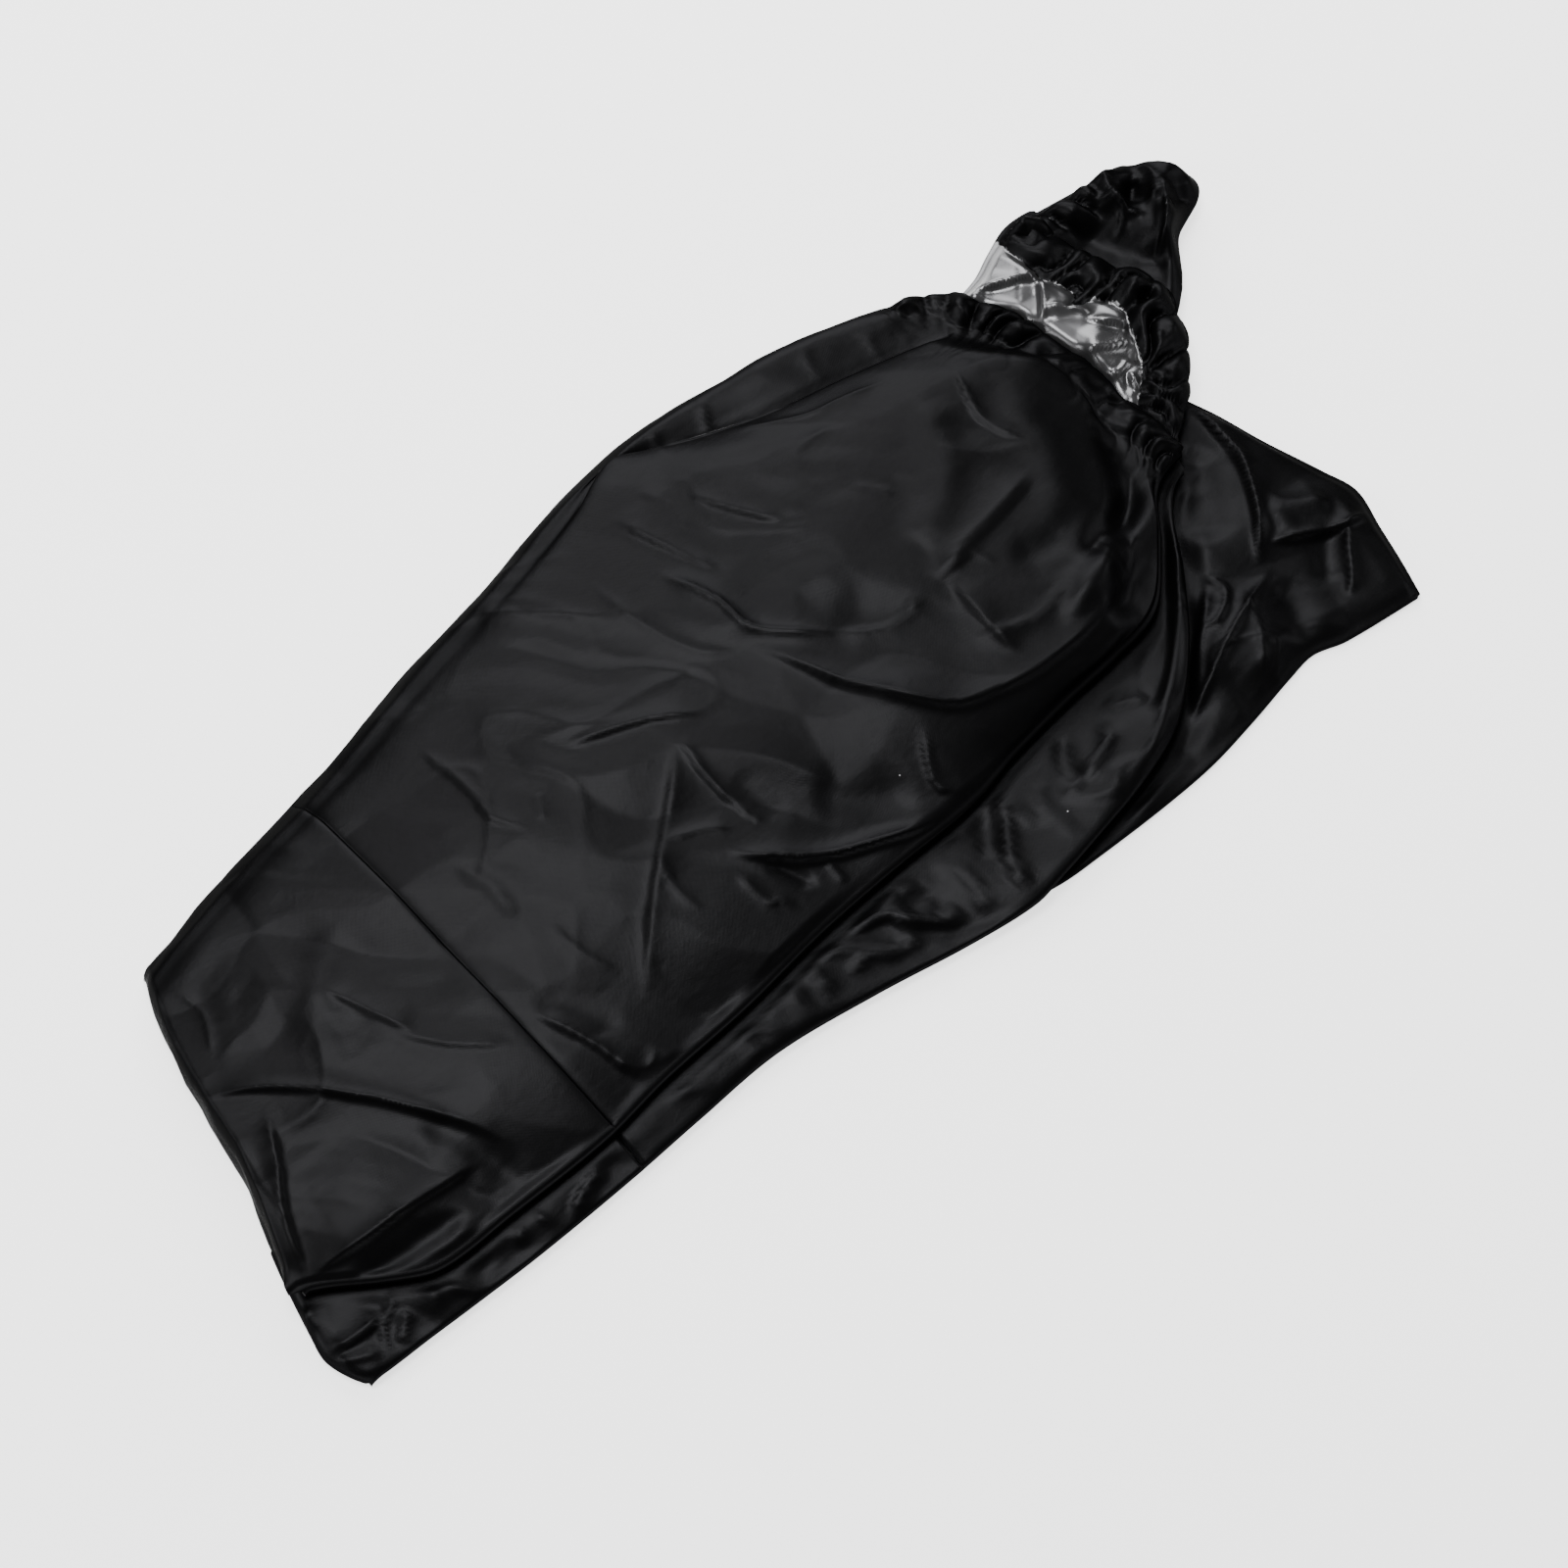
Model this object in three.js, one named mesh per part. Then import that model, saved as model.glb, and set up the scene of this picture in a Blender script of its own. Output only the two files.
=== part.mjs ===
import * as THREE from 'three';
import { mergeVertices } from 'three/addons/utils/BufferGeometryUtils.js';

// Fitted cover of an inflatable pool, folded lengthwise into a long bundle that lies on the floor.
// Millimetres. +X runs along the bundle to the gathered mouth, +Y to the rolled side, +Z up.
// The cloth runs back and forth: from the rolled side's foot over the top to the lip, back under
// the top, out again to the band's fold, back, out to the fan's fold, and back along the floor.

const CLOTH = 2;
const SEAM_GAP = 0.3;
const FLOOR_LAYER = CLOTH / 2;
const LAYER_STEP = 4.8;
const MOUTH_LAYER_STEP = 4.2;
const HEM_HEIGHT = 27;
const CASING = 27;
const RUFFLE_HEIGHT = 4.2;
const RUFFLE_PITCH = 18;

const black = { color: 0x0b0b0c, roughness: 0.42, metalness: 0 };

// Sections across the bundle, one row for each place along it
const SECTION_COLUMNS = [
  'x', 'rollY', 'rollZ', 'pleatY', 'pleatZ', 'ridgeY', 'ridgeZ', 'crownY', 'crownZ',
  'shelfY', 'shelfZ', 'lipY', 'lipZ', 'bandY', 'bandZ', 'bandLowZ', 'fanY',
];
const SECTIONS = [
  [-515, 130, 27, 112, 31, 90, 33, 20, 34, -50, 33, -94, 29, -166, 11, 4, -140],
  [-487, 133, 28, 114, 32, 92, 34, 20, 36, -55, 34, -104, 29, -170, 11, 4, -145],
  [-450, 137, 29, 118, 33, 96, 37, 20, 39, -70, 37, -130, 29, -172, 11, 4, -147],
  [-419, 143, 30, 124, 34, 100, 39, 20, 41, -80, 38, -147, 29, -174, 11, 4, -149],
  [-362, 157, 31, 137, 36, 112, 41, 22, 43, -85, 39, -150, 29, -177, 11, 4, -152],
  [-285, 168, 32, 148, 37, 122, 43, 24, 46, -85, 41, -152, 29, -178, 11, 4, -153],
  [-230, 178, 33, 157, 37, 130, 44, 26, 47, -80, 41, -147, 29, -177, 11, 4, -152],
  [-160, 194, 34, 172, 38, 142, 44, 30, 48, -75, 42, -145, 29, -177, 12, 4, -152],
  [-85, 206, 34, 184, 38, 156, 44, 36, 48, -68, 42, -139, 29, -190, 12, 4, -164],
  [-15, 221, 34, 200, 36, 176, 43, 44, 50, -45, 44, -138, 29, -206, 13, 5, -181],
  [35, 227, 33, 214, 32, 200, 41, 50, 52, -52, 46, -139, 28, -215, 17, 9, -206],
  [60, 228, 33, 203, 28, 193, 41, 54, 53, -66, 47, -137, 27, -213, 20, 13, -213],
  [93, 226, 33, 189, 28, 180, 42, 58, 55, -82, 47, -131, 26, -209, 22, 15, -216],
  [149, 217, 32, 168, 28, 160, 43, 62, 56, -92, 46, -126, 26, -200, 24, 16, -219],
  [196, 208, 31, 157, 28, 149, 43, 66, 56, -92, 45, -124, 26, -184, 25, 17, -219],
  [241, 194, 30, 146, 28, 138, 42, 70, 54, -80, 42, -116, 26, -148, 25, 17, -214],
  [281, 180, 29, 138, 27, 126, 39, 74, 50, -48, 38, -80, 25, -102, 20, 12, -208],
  [305, 168, 28, 140, 27, 124, 35, 75, 46, -12, 33, -52, 25, -68, 17, 10.5, -206],
  [330, 160, 27, 144, 27, 128, 30, 75, 40, 10, 29, -42, 24, -50, 14, 9.5, -214],
  [400, 160, 27, 144, 27, 128, 30, 75, 40, 10, 29, -42, 24, -50, 14, 9.5, -225],
];
const TOP_KEY_COLUMNS = { skirt: [1, 2, 2, 3, 11, 13, 8], panel: [1, 2, 2, 2, 5, 5, 3] };

// Outlines of the cloth's edges in plan, as pairs of Y and X
const FRONT_HEM = [
  [-60, 325], [-22, 322], [-8, 321], [10, 324], [28, 328], [51, 332], [70, 331], [89, 325],
  [106, 318], [124, 310], [139, 302], [165, 299],
];
const BACK_HEM = [
  [-60, 330], [-40, 334], [-21, 358], [-11, 373], [2, 387], [15, 399], [28, 408], [50, 418],
  [67, 424], [87, 420], [99, 410], [118, 405], [133, 399], [153, 397], [170, 400],
];
const BUNCH_EDGE = [
  [-60, 334], [0, 352], [20, 380], [40, 414], [60, 440], [75, 452], [92, 466], [101, 482],
  [110, 496], [122, 506], [135, 508], [146, 502], [154, 492], [161, 479], [167, 463], [171, 440],
];
const FAN_EDGE = [
  [-230, 391], [-192, 403], [-167, 410], [-134, 419], [-107, 412], [-63, 398], [-29, 389],
  [-6, 381], [10, 376], [30, 370], [60, 362], [100, 350], [170, 330],
];
const CLOSED_FOOT = [
  [-175, -494], [-158, -504], [-140, -509], [-122, -506], [-80, -496], [-40, -484], [0, -472],
  [65, -460], [110, -446], [145, -431],
];
const BAG_EDGE = [
  [-100, 215], [-72, 242], [-50, 262], [-27, 284], [6, 304], [42, 325], [60, 323], [85, 304],
  [111, 283], [165, 262],
];

// Rolled side of the inner layers, as pairs of X and Y
const INNER_SIDE = [
  [-515, 104], [-450, 112], [-362, 131], [-230, 152], [-85, 181], [-15, 197], [60, 203],
  [149, 192], [241, 170], [281, 161], [305, 158], [330, 161], [352, 170], [375, 178], [393, 178],
  [415, 173], [450, 169], [480, 165], [520, 150],
];

const mix = (a, b, t) => a + (b - a) * t;

// Share from 0 at one value to 1 at another, with a soft start and end; the two may fall as well as rise
function ease(value, from, to) {
  const t = THREE.MathUtils.clamp((value - from) / (to - from), 0, 1);
  return t * t * (3 - 2 * t);
}

// Smooth curve through rows of a place and a value, level outside them
function curve(rows) {
  const slope = (i) => {
    const [before, after] = [rows[Math.max(i - 1, 0)], rows[Math.min(i + 1, rows.length - 1)]];
    return (after[1] - before[1]) / (after[0] - before[0]);
  };
  return (place) => {
    const p = THREE.MathUtils.clamp(place, rows[0][0], rows[rows.length - 1][0]);
    const i = Math.max(0, rows.findIndex((row, k) => k > 0 && p <= row[0]) - 1);
    const width = rows[i + 1][0] - rows[i][0];
    const t = (p - rows[i][0]) / width;
    const [m0, m1] = [slope(i) * width, slope(i + 1) * width];
    const [h0, h1] = [(1 + 2 * t) * (1 - t) ** 2, t * t * (3 - 2 * t)];
    return h0 * rows[i][1] + h1 * rows[i + 1][1] + t * (1 - t) ** 2 * m0 - t * t * (1 - t) * m1;
  };
}

const at = Object.fromEntries(
  SECTION_COLUMNS.slice(1).map((name, i) => [name, curve(SECTIONS.map((row) => [row[0], row[i + 1]]))]),
);
const frontHem = curve(FRONT_HEM);
const backHem = curve(BACK_HEM);
const bunchEdge = curve(BUNCH_EDGE);
const fanEdge = curve(FAN_EDGE);
const closedFoot = curve(CLOSED_FOOT);
const bagEdge = curve(BAG_EDGE);
const innerSide = curve(INNER_SIDE);

const layerHeight = (number, x) =>
  FLOOR_LAYER + (number - 1) * mix(LAYER_STEP, MOUTH_LAYER_STEP, ease(x, 200, 300));
const ruffle = (place) => Math.sin((2 * Math.PI * place) / RUFFLE_PITCH + 1.4 * Math.sin(place / 29));
const wavyEdge = (edge, y) => edge(y) + 2 * ruffle(y + 4);
const casingShare = (distance) => 1 - ease(distance, CASING, CASING + 32);

// Half of the height of each fold, from one layer's middle to the next
const lipRadius = (x) => (at.lipZ(x) - layerHeight(5, x)) / 2;
const innerRadius = (x) => (layerHeight(5, x) - layerHeight(4, x)) / 2;
const bandRadius = (x) => (at.bandZ(x) - at.bandLowZ(x)) / 2;

// Top layer: from the foot of the rolled side over pleat, ridge, crown and shelf to the lip
function topSection(x) {
  return new THREE.SplineCurve([
    new THREE.Vector2(at.rollY(x), 0),
    new THREE.Vector2(at.rollY(x) + 1, 0.55 * at.rollZ(x)),
    new THREE.Vector2(at.rollY(x) - 10, at.rollZ(x)),
    new THREE.Vector2(at.pleatY(x), at.pleatZ(x)),
    new THREE.Vector2(at.ridgeY(x), at.ridgeZ(x)),
    new THREE.Vector2(at.crownY(x), at.crownZ(x)),
    new THREE.Vector2(at.shelfY(x), at.shelfZ(x)),
    new THREE.Vector2(at.lipY(x) + lipRadius(x), at.lipZ(x)),
  ]);
}

function topPoint(t, x, end) {
  const { x: y, y: height } = topSection(x).getPoint(t);
  const bag = ease(bagEdge(y) - x, -4, 16);
  const low = Math.min(height, HEM_HEIGHT);
  const wave = RUFFLE_HEIGHT * ruffle(y) * casingShare(end - x) * ease(y, -46, -30) * ease(height, 4, 20);
  return [y, mix(low, height, bag) + wave];
}

// Point on the half circle of a fold; side is 1 where it opens towards +Y
function foldPoint(y, top, radius, turn, side) {
  const angle = Math.PI * turn;
  return [y + side * radius * (1 - Math.sin(angle)), top - radius * (1 - Math.cos(angle))];
}

// Layer under the top, from the lip to the inner side, with the back hem at the mouth
function backPoint(t, x, end) {
  const y = mix(at.lipY(x) + lipRadius(x), innerSide(x) - innerRadius(x), t);
  const casing = casingShare(end - x) * ease(x, 300, 330);
  const crinkle = 1.3 * Math.sin(y / 9 + x / 14) * ease(x, 320, 345);
  const rise = (4.5 + RUFFLE_HEIGHT * ruffle(y + 7)) * casing * ease(t, 0, 0.06) * (1 - ease(t, 0.95, 1));
  return [y, layerHeight(5, x) + crinkle * (1 - casing) * ease(t, 0, 0.05) * (1 - ease(t, 0.9, 1)) + rise];
}

// Band layer, from the inner side out to the band's fold, with the crumpled bunch at the mouth
function bandPoint(t, x) {
  const y = mix(innerSide(x) - innerRadius(x), at.bandY(x) + bandRadius(x), t);
  const under = layerHeight(4, x);
  const band = mix(under, at.bandZ(x), ease(y, at.lipY(x) - 3, at.bandY(x) + bandRadius(x)));
  const bunch = ease(x, 418, 462) * (1 - ease(x, 478, 509) * 0.9);
  const lumps = 16 + 7 * Math.sin(y / 8 + x / 17) + 5 * Math.sin(y / 5 - x / 9);
  const free = ease(y, 70, 96) * ease(t, 0, 0.06);
  return [y, band + (bunch * lumps - 9 * ease(x, 480, 508)) * free];
}

function lowPoint(t, x) {
  const start = at.bandY(x) + bandRadius(x);
  const y = mix(start, innerSide(x) - 4 - innerRadius(x), t);
  return [y, mix(at.bandLowZ(x), layerHeight(3, x), ease(y - start, 0, 34))];
}

function fanPoint(t, x, end) {
  const y = mix(innerSide(x) - 4 - innerRadius(x), at.fanY(x) + innerRadius(x), t);
  const free = (1 - ease(y, at.bandY(x) - 34, at.bandY(x) - 6)) * ease(y, at.fanY(x) + 4, at.fanY(x) + 24);
  const swell = 5 + 2 * Math.sin(y / 17 + x / 23);
  return [y, layerHeight(2, x) + swell * free * ease(end - x, 0, 22)];
}

function floorPoint(t, x) {
  return [mix(at.fanY(x) + innerRadius(x), innerSide(x) - 8, t), FLOOR_LAYER];
}

// Folds that join the layers
const lipFold = (t, x) => foldPoint(at.lipY(x), at.lipZ(x), lipRadius(x), t, 1);
const upperInnerFold = (t, x) => foldPoint(innerSide(x), layerHeight(5, x), innerRadius(x), t, -1);
const bandFold = (t, x) => foldPoint(at.bandY(x), at.bandZ(x), bandRadius(x), t, 1);
const lowerInnerFold = (t, x) => foldPoint(innerSide(x) - 4, layerHeight(3, x), innerRadius(x), t, -1);
const fanFold = (t, x) => foldPoint(at.fanY(x), layerHeight(2, x), innerRadius(x), t, 1);

// Each stretch of the section: its shape, its share of columns, and its edge at the mouth
const STRETCHES = [
  { name: 'top', point: topPoint, mouth: (t, y) => wavyEdge(frontHem, y(320)) },
  { name: 'lip', point: lipFold, skirt: 4, panel: 4, mouth: (t) => mix(325, 332, t) },
  { name: 'back', point: backPoint, skirt: 37, panel: 5, mouth: (t, y) => wavyEdge(backHem, y(385)) },
  { name: 'upperInner', point: upperInnerFold, skirt: 4, panel: 4, mouth: () => 400 },
  { name: 'band', point: bandPoint, skirt: 20, panel: 9, mouth: (t, y) => bunchEdge(y(440)) },
  { name: 'bandFold', point: bandFold, skirt: 4, panel: 4, mouth: () => 334 },
  { name: 'low', point: lowPoint, skirt: 7, panel: 6, mouth: () => 332 },
  { name: 'lowerInner', point: lowerInnerFold, skirt: 4, panel: 4, mouth: () => 330 },
  { name: 'fan', point: fanPoint, skirt: 16, panel: 4, mouth: (t, y) => fanEdge(y(395)) },
  { name: 'fanFold', point: fanFold, skirt: 4, panel: 4, mouth: (t) => mix(391, 387, t) },
  { name: 'floor', point: floorPoint, skirt: 8, panel: 4, mouth: (t, y) => fanEdge(y(395)) - 6 },
];

// Columns crowd together where the band layer bunches and where the layer below it slopes
const SHARES = {
  band: curve([[0, 0], [0.5, 0.36], [0.65, 0.66], [1, 1]]),
  fan: (t) => (t < 0.2 ? 2 * t : mix(0.4, 1, (t - 0.2) / 0.8)),
  low: (t) => 0.02 * t + (t < 0.7 ? 0.1 * t : mix(0.07, 0.98, (t - 0.7) / 0.3)),
};

function stretchSteps(stretch, piece) {
  if (stretch.name === 'top') {
    const counts = TOP_KEY_COLUMNS[piece];
    return counts.flatMap((count, key) =>
      Array.from({ length: count }, (_, k) => (key + k / count) / counts.length)).concat(1);
  }
  const count = stretch[piece];
  const steps = Array.from({ length: count + 1 }, (_, k) => k / count);
  return SHARES[stretch.name] ? steps.map(SHARES[stretch.name]) : steps;
}

// Columns of a piece, from the rolled side's foot to the free edge on the floor
function clothColumns(piece) {
  return STRETCHES.flatMap((stretch, i) => {
    const steps = stretchSteps(stretch, piece);
    return steps.slice(i === 0 ? 0 : 1).map((t) => {
      const y = (x) => stretch.point(t, x, x + 200)[0];
      return { name: stretch.name, t, y, mouth: stretch.mouth(t, y), point: stretch.point };
    });
  });
}

const seamX = (column) => (column.name === 'top' ? mix(-290, -277, column.t) : -277);

// Skirt: rows of points at the same places along the bundle, and then shares of the way to the mouth
const SKIRT_PLACES = [-220, -160, -100, -45, 10, 50, 90, 140, 190, 228, 256];
const MOUTH_SHARES = [0.2, 0.38, 0.54, 0.68, 0.8, 0.9, 1];

function skirtPoint(column, x) {
  return new THREE.Vector3(x, ...column.point(column.t, x, column.mouth));
}

// Top panel: rows from the seam to the end crest, and then down the end wall
const PANEL_ROWS = [0, 0.14, 0.28, 0.42, 0.56, 0.7, 0.82, 0.92, 1];
const WALL_ROWS = [0.3, 0.55, 0.78, 1];
const WALL_DEPTH = 9;
const INNER_SETBACK = 15;

function panelPoint(column, share, wall) {
  const onTop = column.name === 'top';
  const y = column.y(-480);
  const onBand = (column.name === 'band' || column.name === 'bandFold') && y < -95;
  const foot = closedFoot(y);
  const crest = foot + (onTop || onBand ? WALL_DEPTH : INNER_SETBACK);
  const x = mix(seamX(column) - SEAM_GAP / 2, crest, share);
  const [sectionY, height] = column.point(column.t, x, x + 200);
  if (!onTop && !onBand) {
    return new THREE.Vector3(x - 4 * wall, sectionY, height);
  }
  const angle = (Math.PI / 2) * wall;
  const low = onTop ? mix(0, height - 1, ease(y, -76, -98)) : 1 + 0.3 * height;
  return new THREE.Vector3(
    x - WALL_DEPTH * Math.sin(angle),
    sectionY,
    mix(low, height, Math.cos(angle)),
  );
}

// Splits the back face's squares along the same diagonals as the front face's, so both faces run alike
function matchDiagonals(box) {
  const index = box.index;
  const { start, count } = box.groups[5];
  for (let i = start; i < start + count; i += 6) {
    const [a, b, c, d] = [index.getX(i), index.getX(i + 1), index.getX(i + 4), index.getX(i + 5)];
    [a, b, c, a, c, d].forEach((corner, k) => index.setX(i + k, corner));
  }
}

// A sheet of cloth: a thin box whose two faces are laid on either side of a grid of points
function clothMesh(name, grid, material) {
  const [rows, columns] = [grid.length - 1, grid[0].length - 1];
  const box = new THREE.BoxGeometry(1, 1, 1, rows, columns, 1);
  matchDiagonals(box);
  box.deleteAttribute('normal');
  box.deleteAttribute('uv');
  const geometry = mergeVertices(box);
  const position = geometry.attributes.position;
  const [along, across, normal] = [new THREE.Vector3(), new THREE.Vector3(), new THREE.Vector3()];
  for (let i = 0; i < position.count; i += 1) {
    const r = Math.round((position.getX(i) + 0.5) * rows);
    const c = Math.round((position.getY(i) + 0.5) * columns);
    const side = position.getZ(i) > 0 ? 1 : -1;
    along.subVectors(grid[Math.min(r + 1, rows)][c], grid[Math.max(r - 1, 0)][c]);
    across.subVectors(grid[r][Math.min(c + 1, columns)], grid[r][Math.max(c - 1, 0)]);
    normal.crossVectors(along, across).normalize();
    const point = grid[r][c].clone().addScaledVector(normal, (side * CLOTH) / 2);
    position.setXYZ(i, point.x, point.y, Math.max(point.z, 0));
  }
  geometry.computeVertexNormals();
  const mesh = new THREE.Mesh(geometry, new THREE.MeshStandardMaterial(material));
  mesh.name = name;
  return mesh;
}

function makeSkirt() {
  const columns = clothColumns('skirt');
  const [lastPlace] = SKIRT_PLACES.slice(-1);
  const row = (place) => columns.map((column) => skirtPoint(column, place(column)));
  return clothMesh('skirt', [
    row((column) => seamX(column) + SEAM_GAP / 2),
    ...SKIRT_PLACES.map((place) => row(() => place)),
    ...MOUTH_SHARES.map((share) => row((column) => mix(lastPlace, column.mouth, share))),
  ], black);
}

function makeTopPanel() {
  const columns = clothColumns('panel');
  const top = PANEL_ROWS.map((share) => columns.map((column) => panelPoint(column, share, 0)));
  const wall = WALL_ROWS.map((share) => columns.map((column) => panelPoint(column, 1, share)));
  return clothMesh('top_panel', [...top, ...wall].reverse(), black);
}

// The origin is the middle of the bundle's own box, on the floor
const cover = new THREE.Group();
cover.add(makeTopPanel(), makeSkirt());
const middle = new THREE.Box3().setFromObject(cover).getCenter(new THREE.Vector3());
cover.position.set(-middle.x, -middle.y, 0);

export default cover;
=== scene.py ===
"""Folded cover of an inflatable pool: black coated cloth, silver inside, with a ruffled elastic hem."""
from __future__ import annotations

import logging
import math
from dataclasses import dataclass, field
from enum import Enum

import bmesh
import bpy
import numpy as np
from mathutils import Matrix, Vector


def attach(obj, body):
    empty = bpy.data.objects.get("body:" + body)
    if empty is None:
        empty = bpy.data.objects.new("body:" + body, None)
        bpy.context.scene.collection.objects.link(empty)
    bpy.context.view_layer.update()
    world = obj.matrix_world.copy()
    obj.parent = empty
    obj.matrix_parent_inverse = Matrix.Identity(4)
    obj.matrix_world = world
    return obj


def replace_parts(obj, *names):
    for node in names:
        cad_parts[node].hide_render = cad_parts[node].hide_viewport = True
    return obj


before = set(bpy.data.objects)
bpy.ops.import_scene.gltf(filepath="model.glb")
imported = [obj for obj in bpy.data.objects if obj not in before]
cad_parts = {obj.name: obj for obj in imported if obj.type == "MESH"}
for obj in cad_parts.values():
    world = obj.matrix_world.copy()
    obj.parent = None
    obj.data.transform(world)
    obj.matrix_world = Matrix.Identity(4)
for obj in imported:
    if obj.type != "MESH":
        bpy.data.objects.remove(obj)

log = logging.getLogger("pool_cover")

MM = 0.001
# The bundle's tables are in millimetres about this place, and the frame's origin is its box's middle
SHIFT = np.array([0.545, -2.80, 0.0])
CLOTH = 0.5
LAYER_STEP = 4.8
MOUTH_LAYER_STEP = 4.2
FLOOR_LAYER = 0.8
HEM_HEIGHT = 27.0
SEAM_AT_ROLL = -290.0
SEAM_AT_LIP = -277.0
HALF_SEAM = 0.15
SEAM_OVERLAP = 0.7
SEAM_DEPTH = 1.3
SEAM_WIDTH = 2.2
# Distances from the seam of the close rows beside it, and of the first of the wide ones
NEAR_SEAM = (0.0, 1.4, 3.2, 5.6)
WIDE_ROWS_START = 8.4
# Columns between each two key points of the top layer, and round its lip
TOP_COLUMNS = (8, 8, 8, 12, 50, 42, 38)
LIP_COLUMNS = 8
# Columns before the lip over which creases fade out
LIP_FADE = 7
# Most that the lower layers sink below their plain height
DEEPEST = -2.4

SECTION_COLUMNS = (
    "x", "roll_y", "roll_z", "pleat_y", "pleat_z", "ridge_y", "ridge_z", "crown_y", "crown_z",
    "shelf_y", "shelf_z", "lip_y", "lip_z", "band_y", "band_z", "band_low_z", "fan_y",
)
SECTIONS = (
    (-515, 130, 27, 112, 31, 90, 33, 20, 34, -50, 33, -94, 29, -166, 11, 4, -140),
    (-487, 133, 28, 114, 32, 92, 34, 20, 36, -55, 34, -104, 29, -170, 11, 4, -145),
    (-450, 137, 29, 118, 33, 96, 37, 20, 39, -70, 37, -130, 29, -172, 11, 4, -147),
    (-419, 143, 30, 124, 34, 100, 39, 20, 41, -80, 38, -147, 29, -174, 11, 4, -149),
    (-362, 157, 31, 137, 36, 112, 41, 22, 43, -85, 39, -150, 29, -177, 11, 4, -152),
    (-285, 168, 32, 148, 37, 122, 43, 24, 46, -85, 41, -152, 29, -178, 11, 4, -153),
    (-230, 178, 33, 157, 37, 130, 44, 26, 47, -80, 41, -147, 29, -177, 11, 4, -152),
    (-160, 194, 34, 172, 38, 142, 44, 30, 48, -75, 42, -145, 29, -177, 12, 4, -152),
    (-85, 206, 34, 184, 38, 156, 44, 36, 48, -68, 42, -139, 29, -190, 12, 4, -164),
    (-15, 221, 34, 200, 36, 176, 43, 44, 50, -45, 44, -138, 29, -206, 13, 5, -181),
    (35, 227, 33, 214, 32, 200, 41, 50, 52, -52, 46, -139, 28, -215, 17, 9, -206),
    (60, 228, 33, 203, 28, 193, 41, 54, 53, -66, 47, -137, 27, -213, 20, 13, -213),
    (93, 226, 33, 189, 28, 180, 42, 58, 55, -82, 47, -131, 26, -209, 22, 15, -216),
    (149, 217, 32, 168, 28, 160, 43, 62, 56, -92, 46, -126, 26, -200, 24, 16, -219),
    (196, 208, 31, 157, 28, 149, 43, 66, 56, -92, 45, -124, 26, -184, 25, 17, -219),
    (241, 194, 30, 146, 28, 138, 42, 70, 54, -80, 42, -116, 26, -148, 25, 17, -214),
    (281, 180, 29, 138, 27, 126, 39, 74, 50, -48, 38, -80, 25, -102, 20, 12, -208),
    (305, 168, 28, 140, 27, 124, 35, 75, 46, -12, 33, -52, 25, -68, 17, 10.5, -206),
    (330, 160, 27, 144, 27, 128, 30, 75, 40, 10, 29, -42, 24, -50, 14, 9.5, -214),
    (400, 160, 27, 144, 27, 128, 30, 75, 40, 10, 29, -42, 24, -50, 14, 9.5, -225),
)

# Outlines of the cloth's edges in plan, as pairs of Y and X
FRONT_HEM = (
    (-60, 338), (-34, 341), (-7, 341), (12, 336), (25, 338), (40, 339), (58, 338), (76, 334),
    (97, 331), (120, 327), (139, 316), (153, 310), (165, 304), (176, 293),
)
BACK_HEM = (
    (-60, 330), (-40, 334), (-21, 358), (-11, 373), (2, 387), (15, 399), (28, 408), (50, 418),
    (67, 424), (87, 420), (99, 410), (118, 405), (133, 399), (153, 397), (170, 400),
)
BUNCH_EDGE = (
    (-60, 334), (0, 352), (20, 380), (40, 414), (60, 440), (75, 452), (92, 466), (101, 482),
    (110, 496), (122, 506), (135, 508), (146, 502), (154, 492), (161, 479), (167, 463), (171, 440),
)
FAN_EDGE = (
    (-230, 391), (-192, 403), (-167, 410), (-134, 419), (-107, 412), (-63, 398), (-29, 389),
    (-6, 381), (10, 376), (30, 370), (60, 362), (100, 350), (170, 330),
)
CLOSED_FOOT = (
    (-175, -494), (-158, -504), (-140, -509), (-122, -506), (-80, -496), (-40, -484), (0, -472),
    (65, -460), (110, -446), (145, -431),
)
BAG_EDGE = (
    (-100, 215), (-72, 242), (-50, 262), (-27, 284), (6, 304), (42, 325), (60, 323), (85, 304),
    (111, 283), (165, 262),
)
# Rolled side of the inner layers, as pairs of X and Y
INNER_SIDE = (
    (-515, 104), (-450, 112), (-362, 131), (-230, 152), (-85, 181), (-15, 197), (60, 203),
    (149, 192), (241, 170), (281, 161), (305, 158), (330, 161), (352, 170), (375, 178), (393, 178),
    (415, 173), (450, 169), (480, 165), (520, 150),
)


def mix(start: np.ndarray | float, stop: np.ndarray | float, share: np.ndarray | float) -> np.ndarray:
    """Gives the value at a share of the way from start to stop."""
    return start + (stop - start) * share


def ease(value: np.ndarray, start: float | np.ndarray, stop: float | np.ndarray) -> np.ndarray:
    """Gives a soft share from 0 at start to 1 at stop; the two may fall as well as rise."""
    share = np.clip((value - start) / (stop - start), 0.0, 1.0)
    return share * share * (3 - 2 * share)


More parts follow.
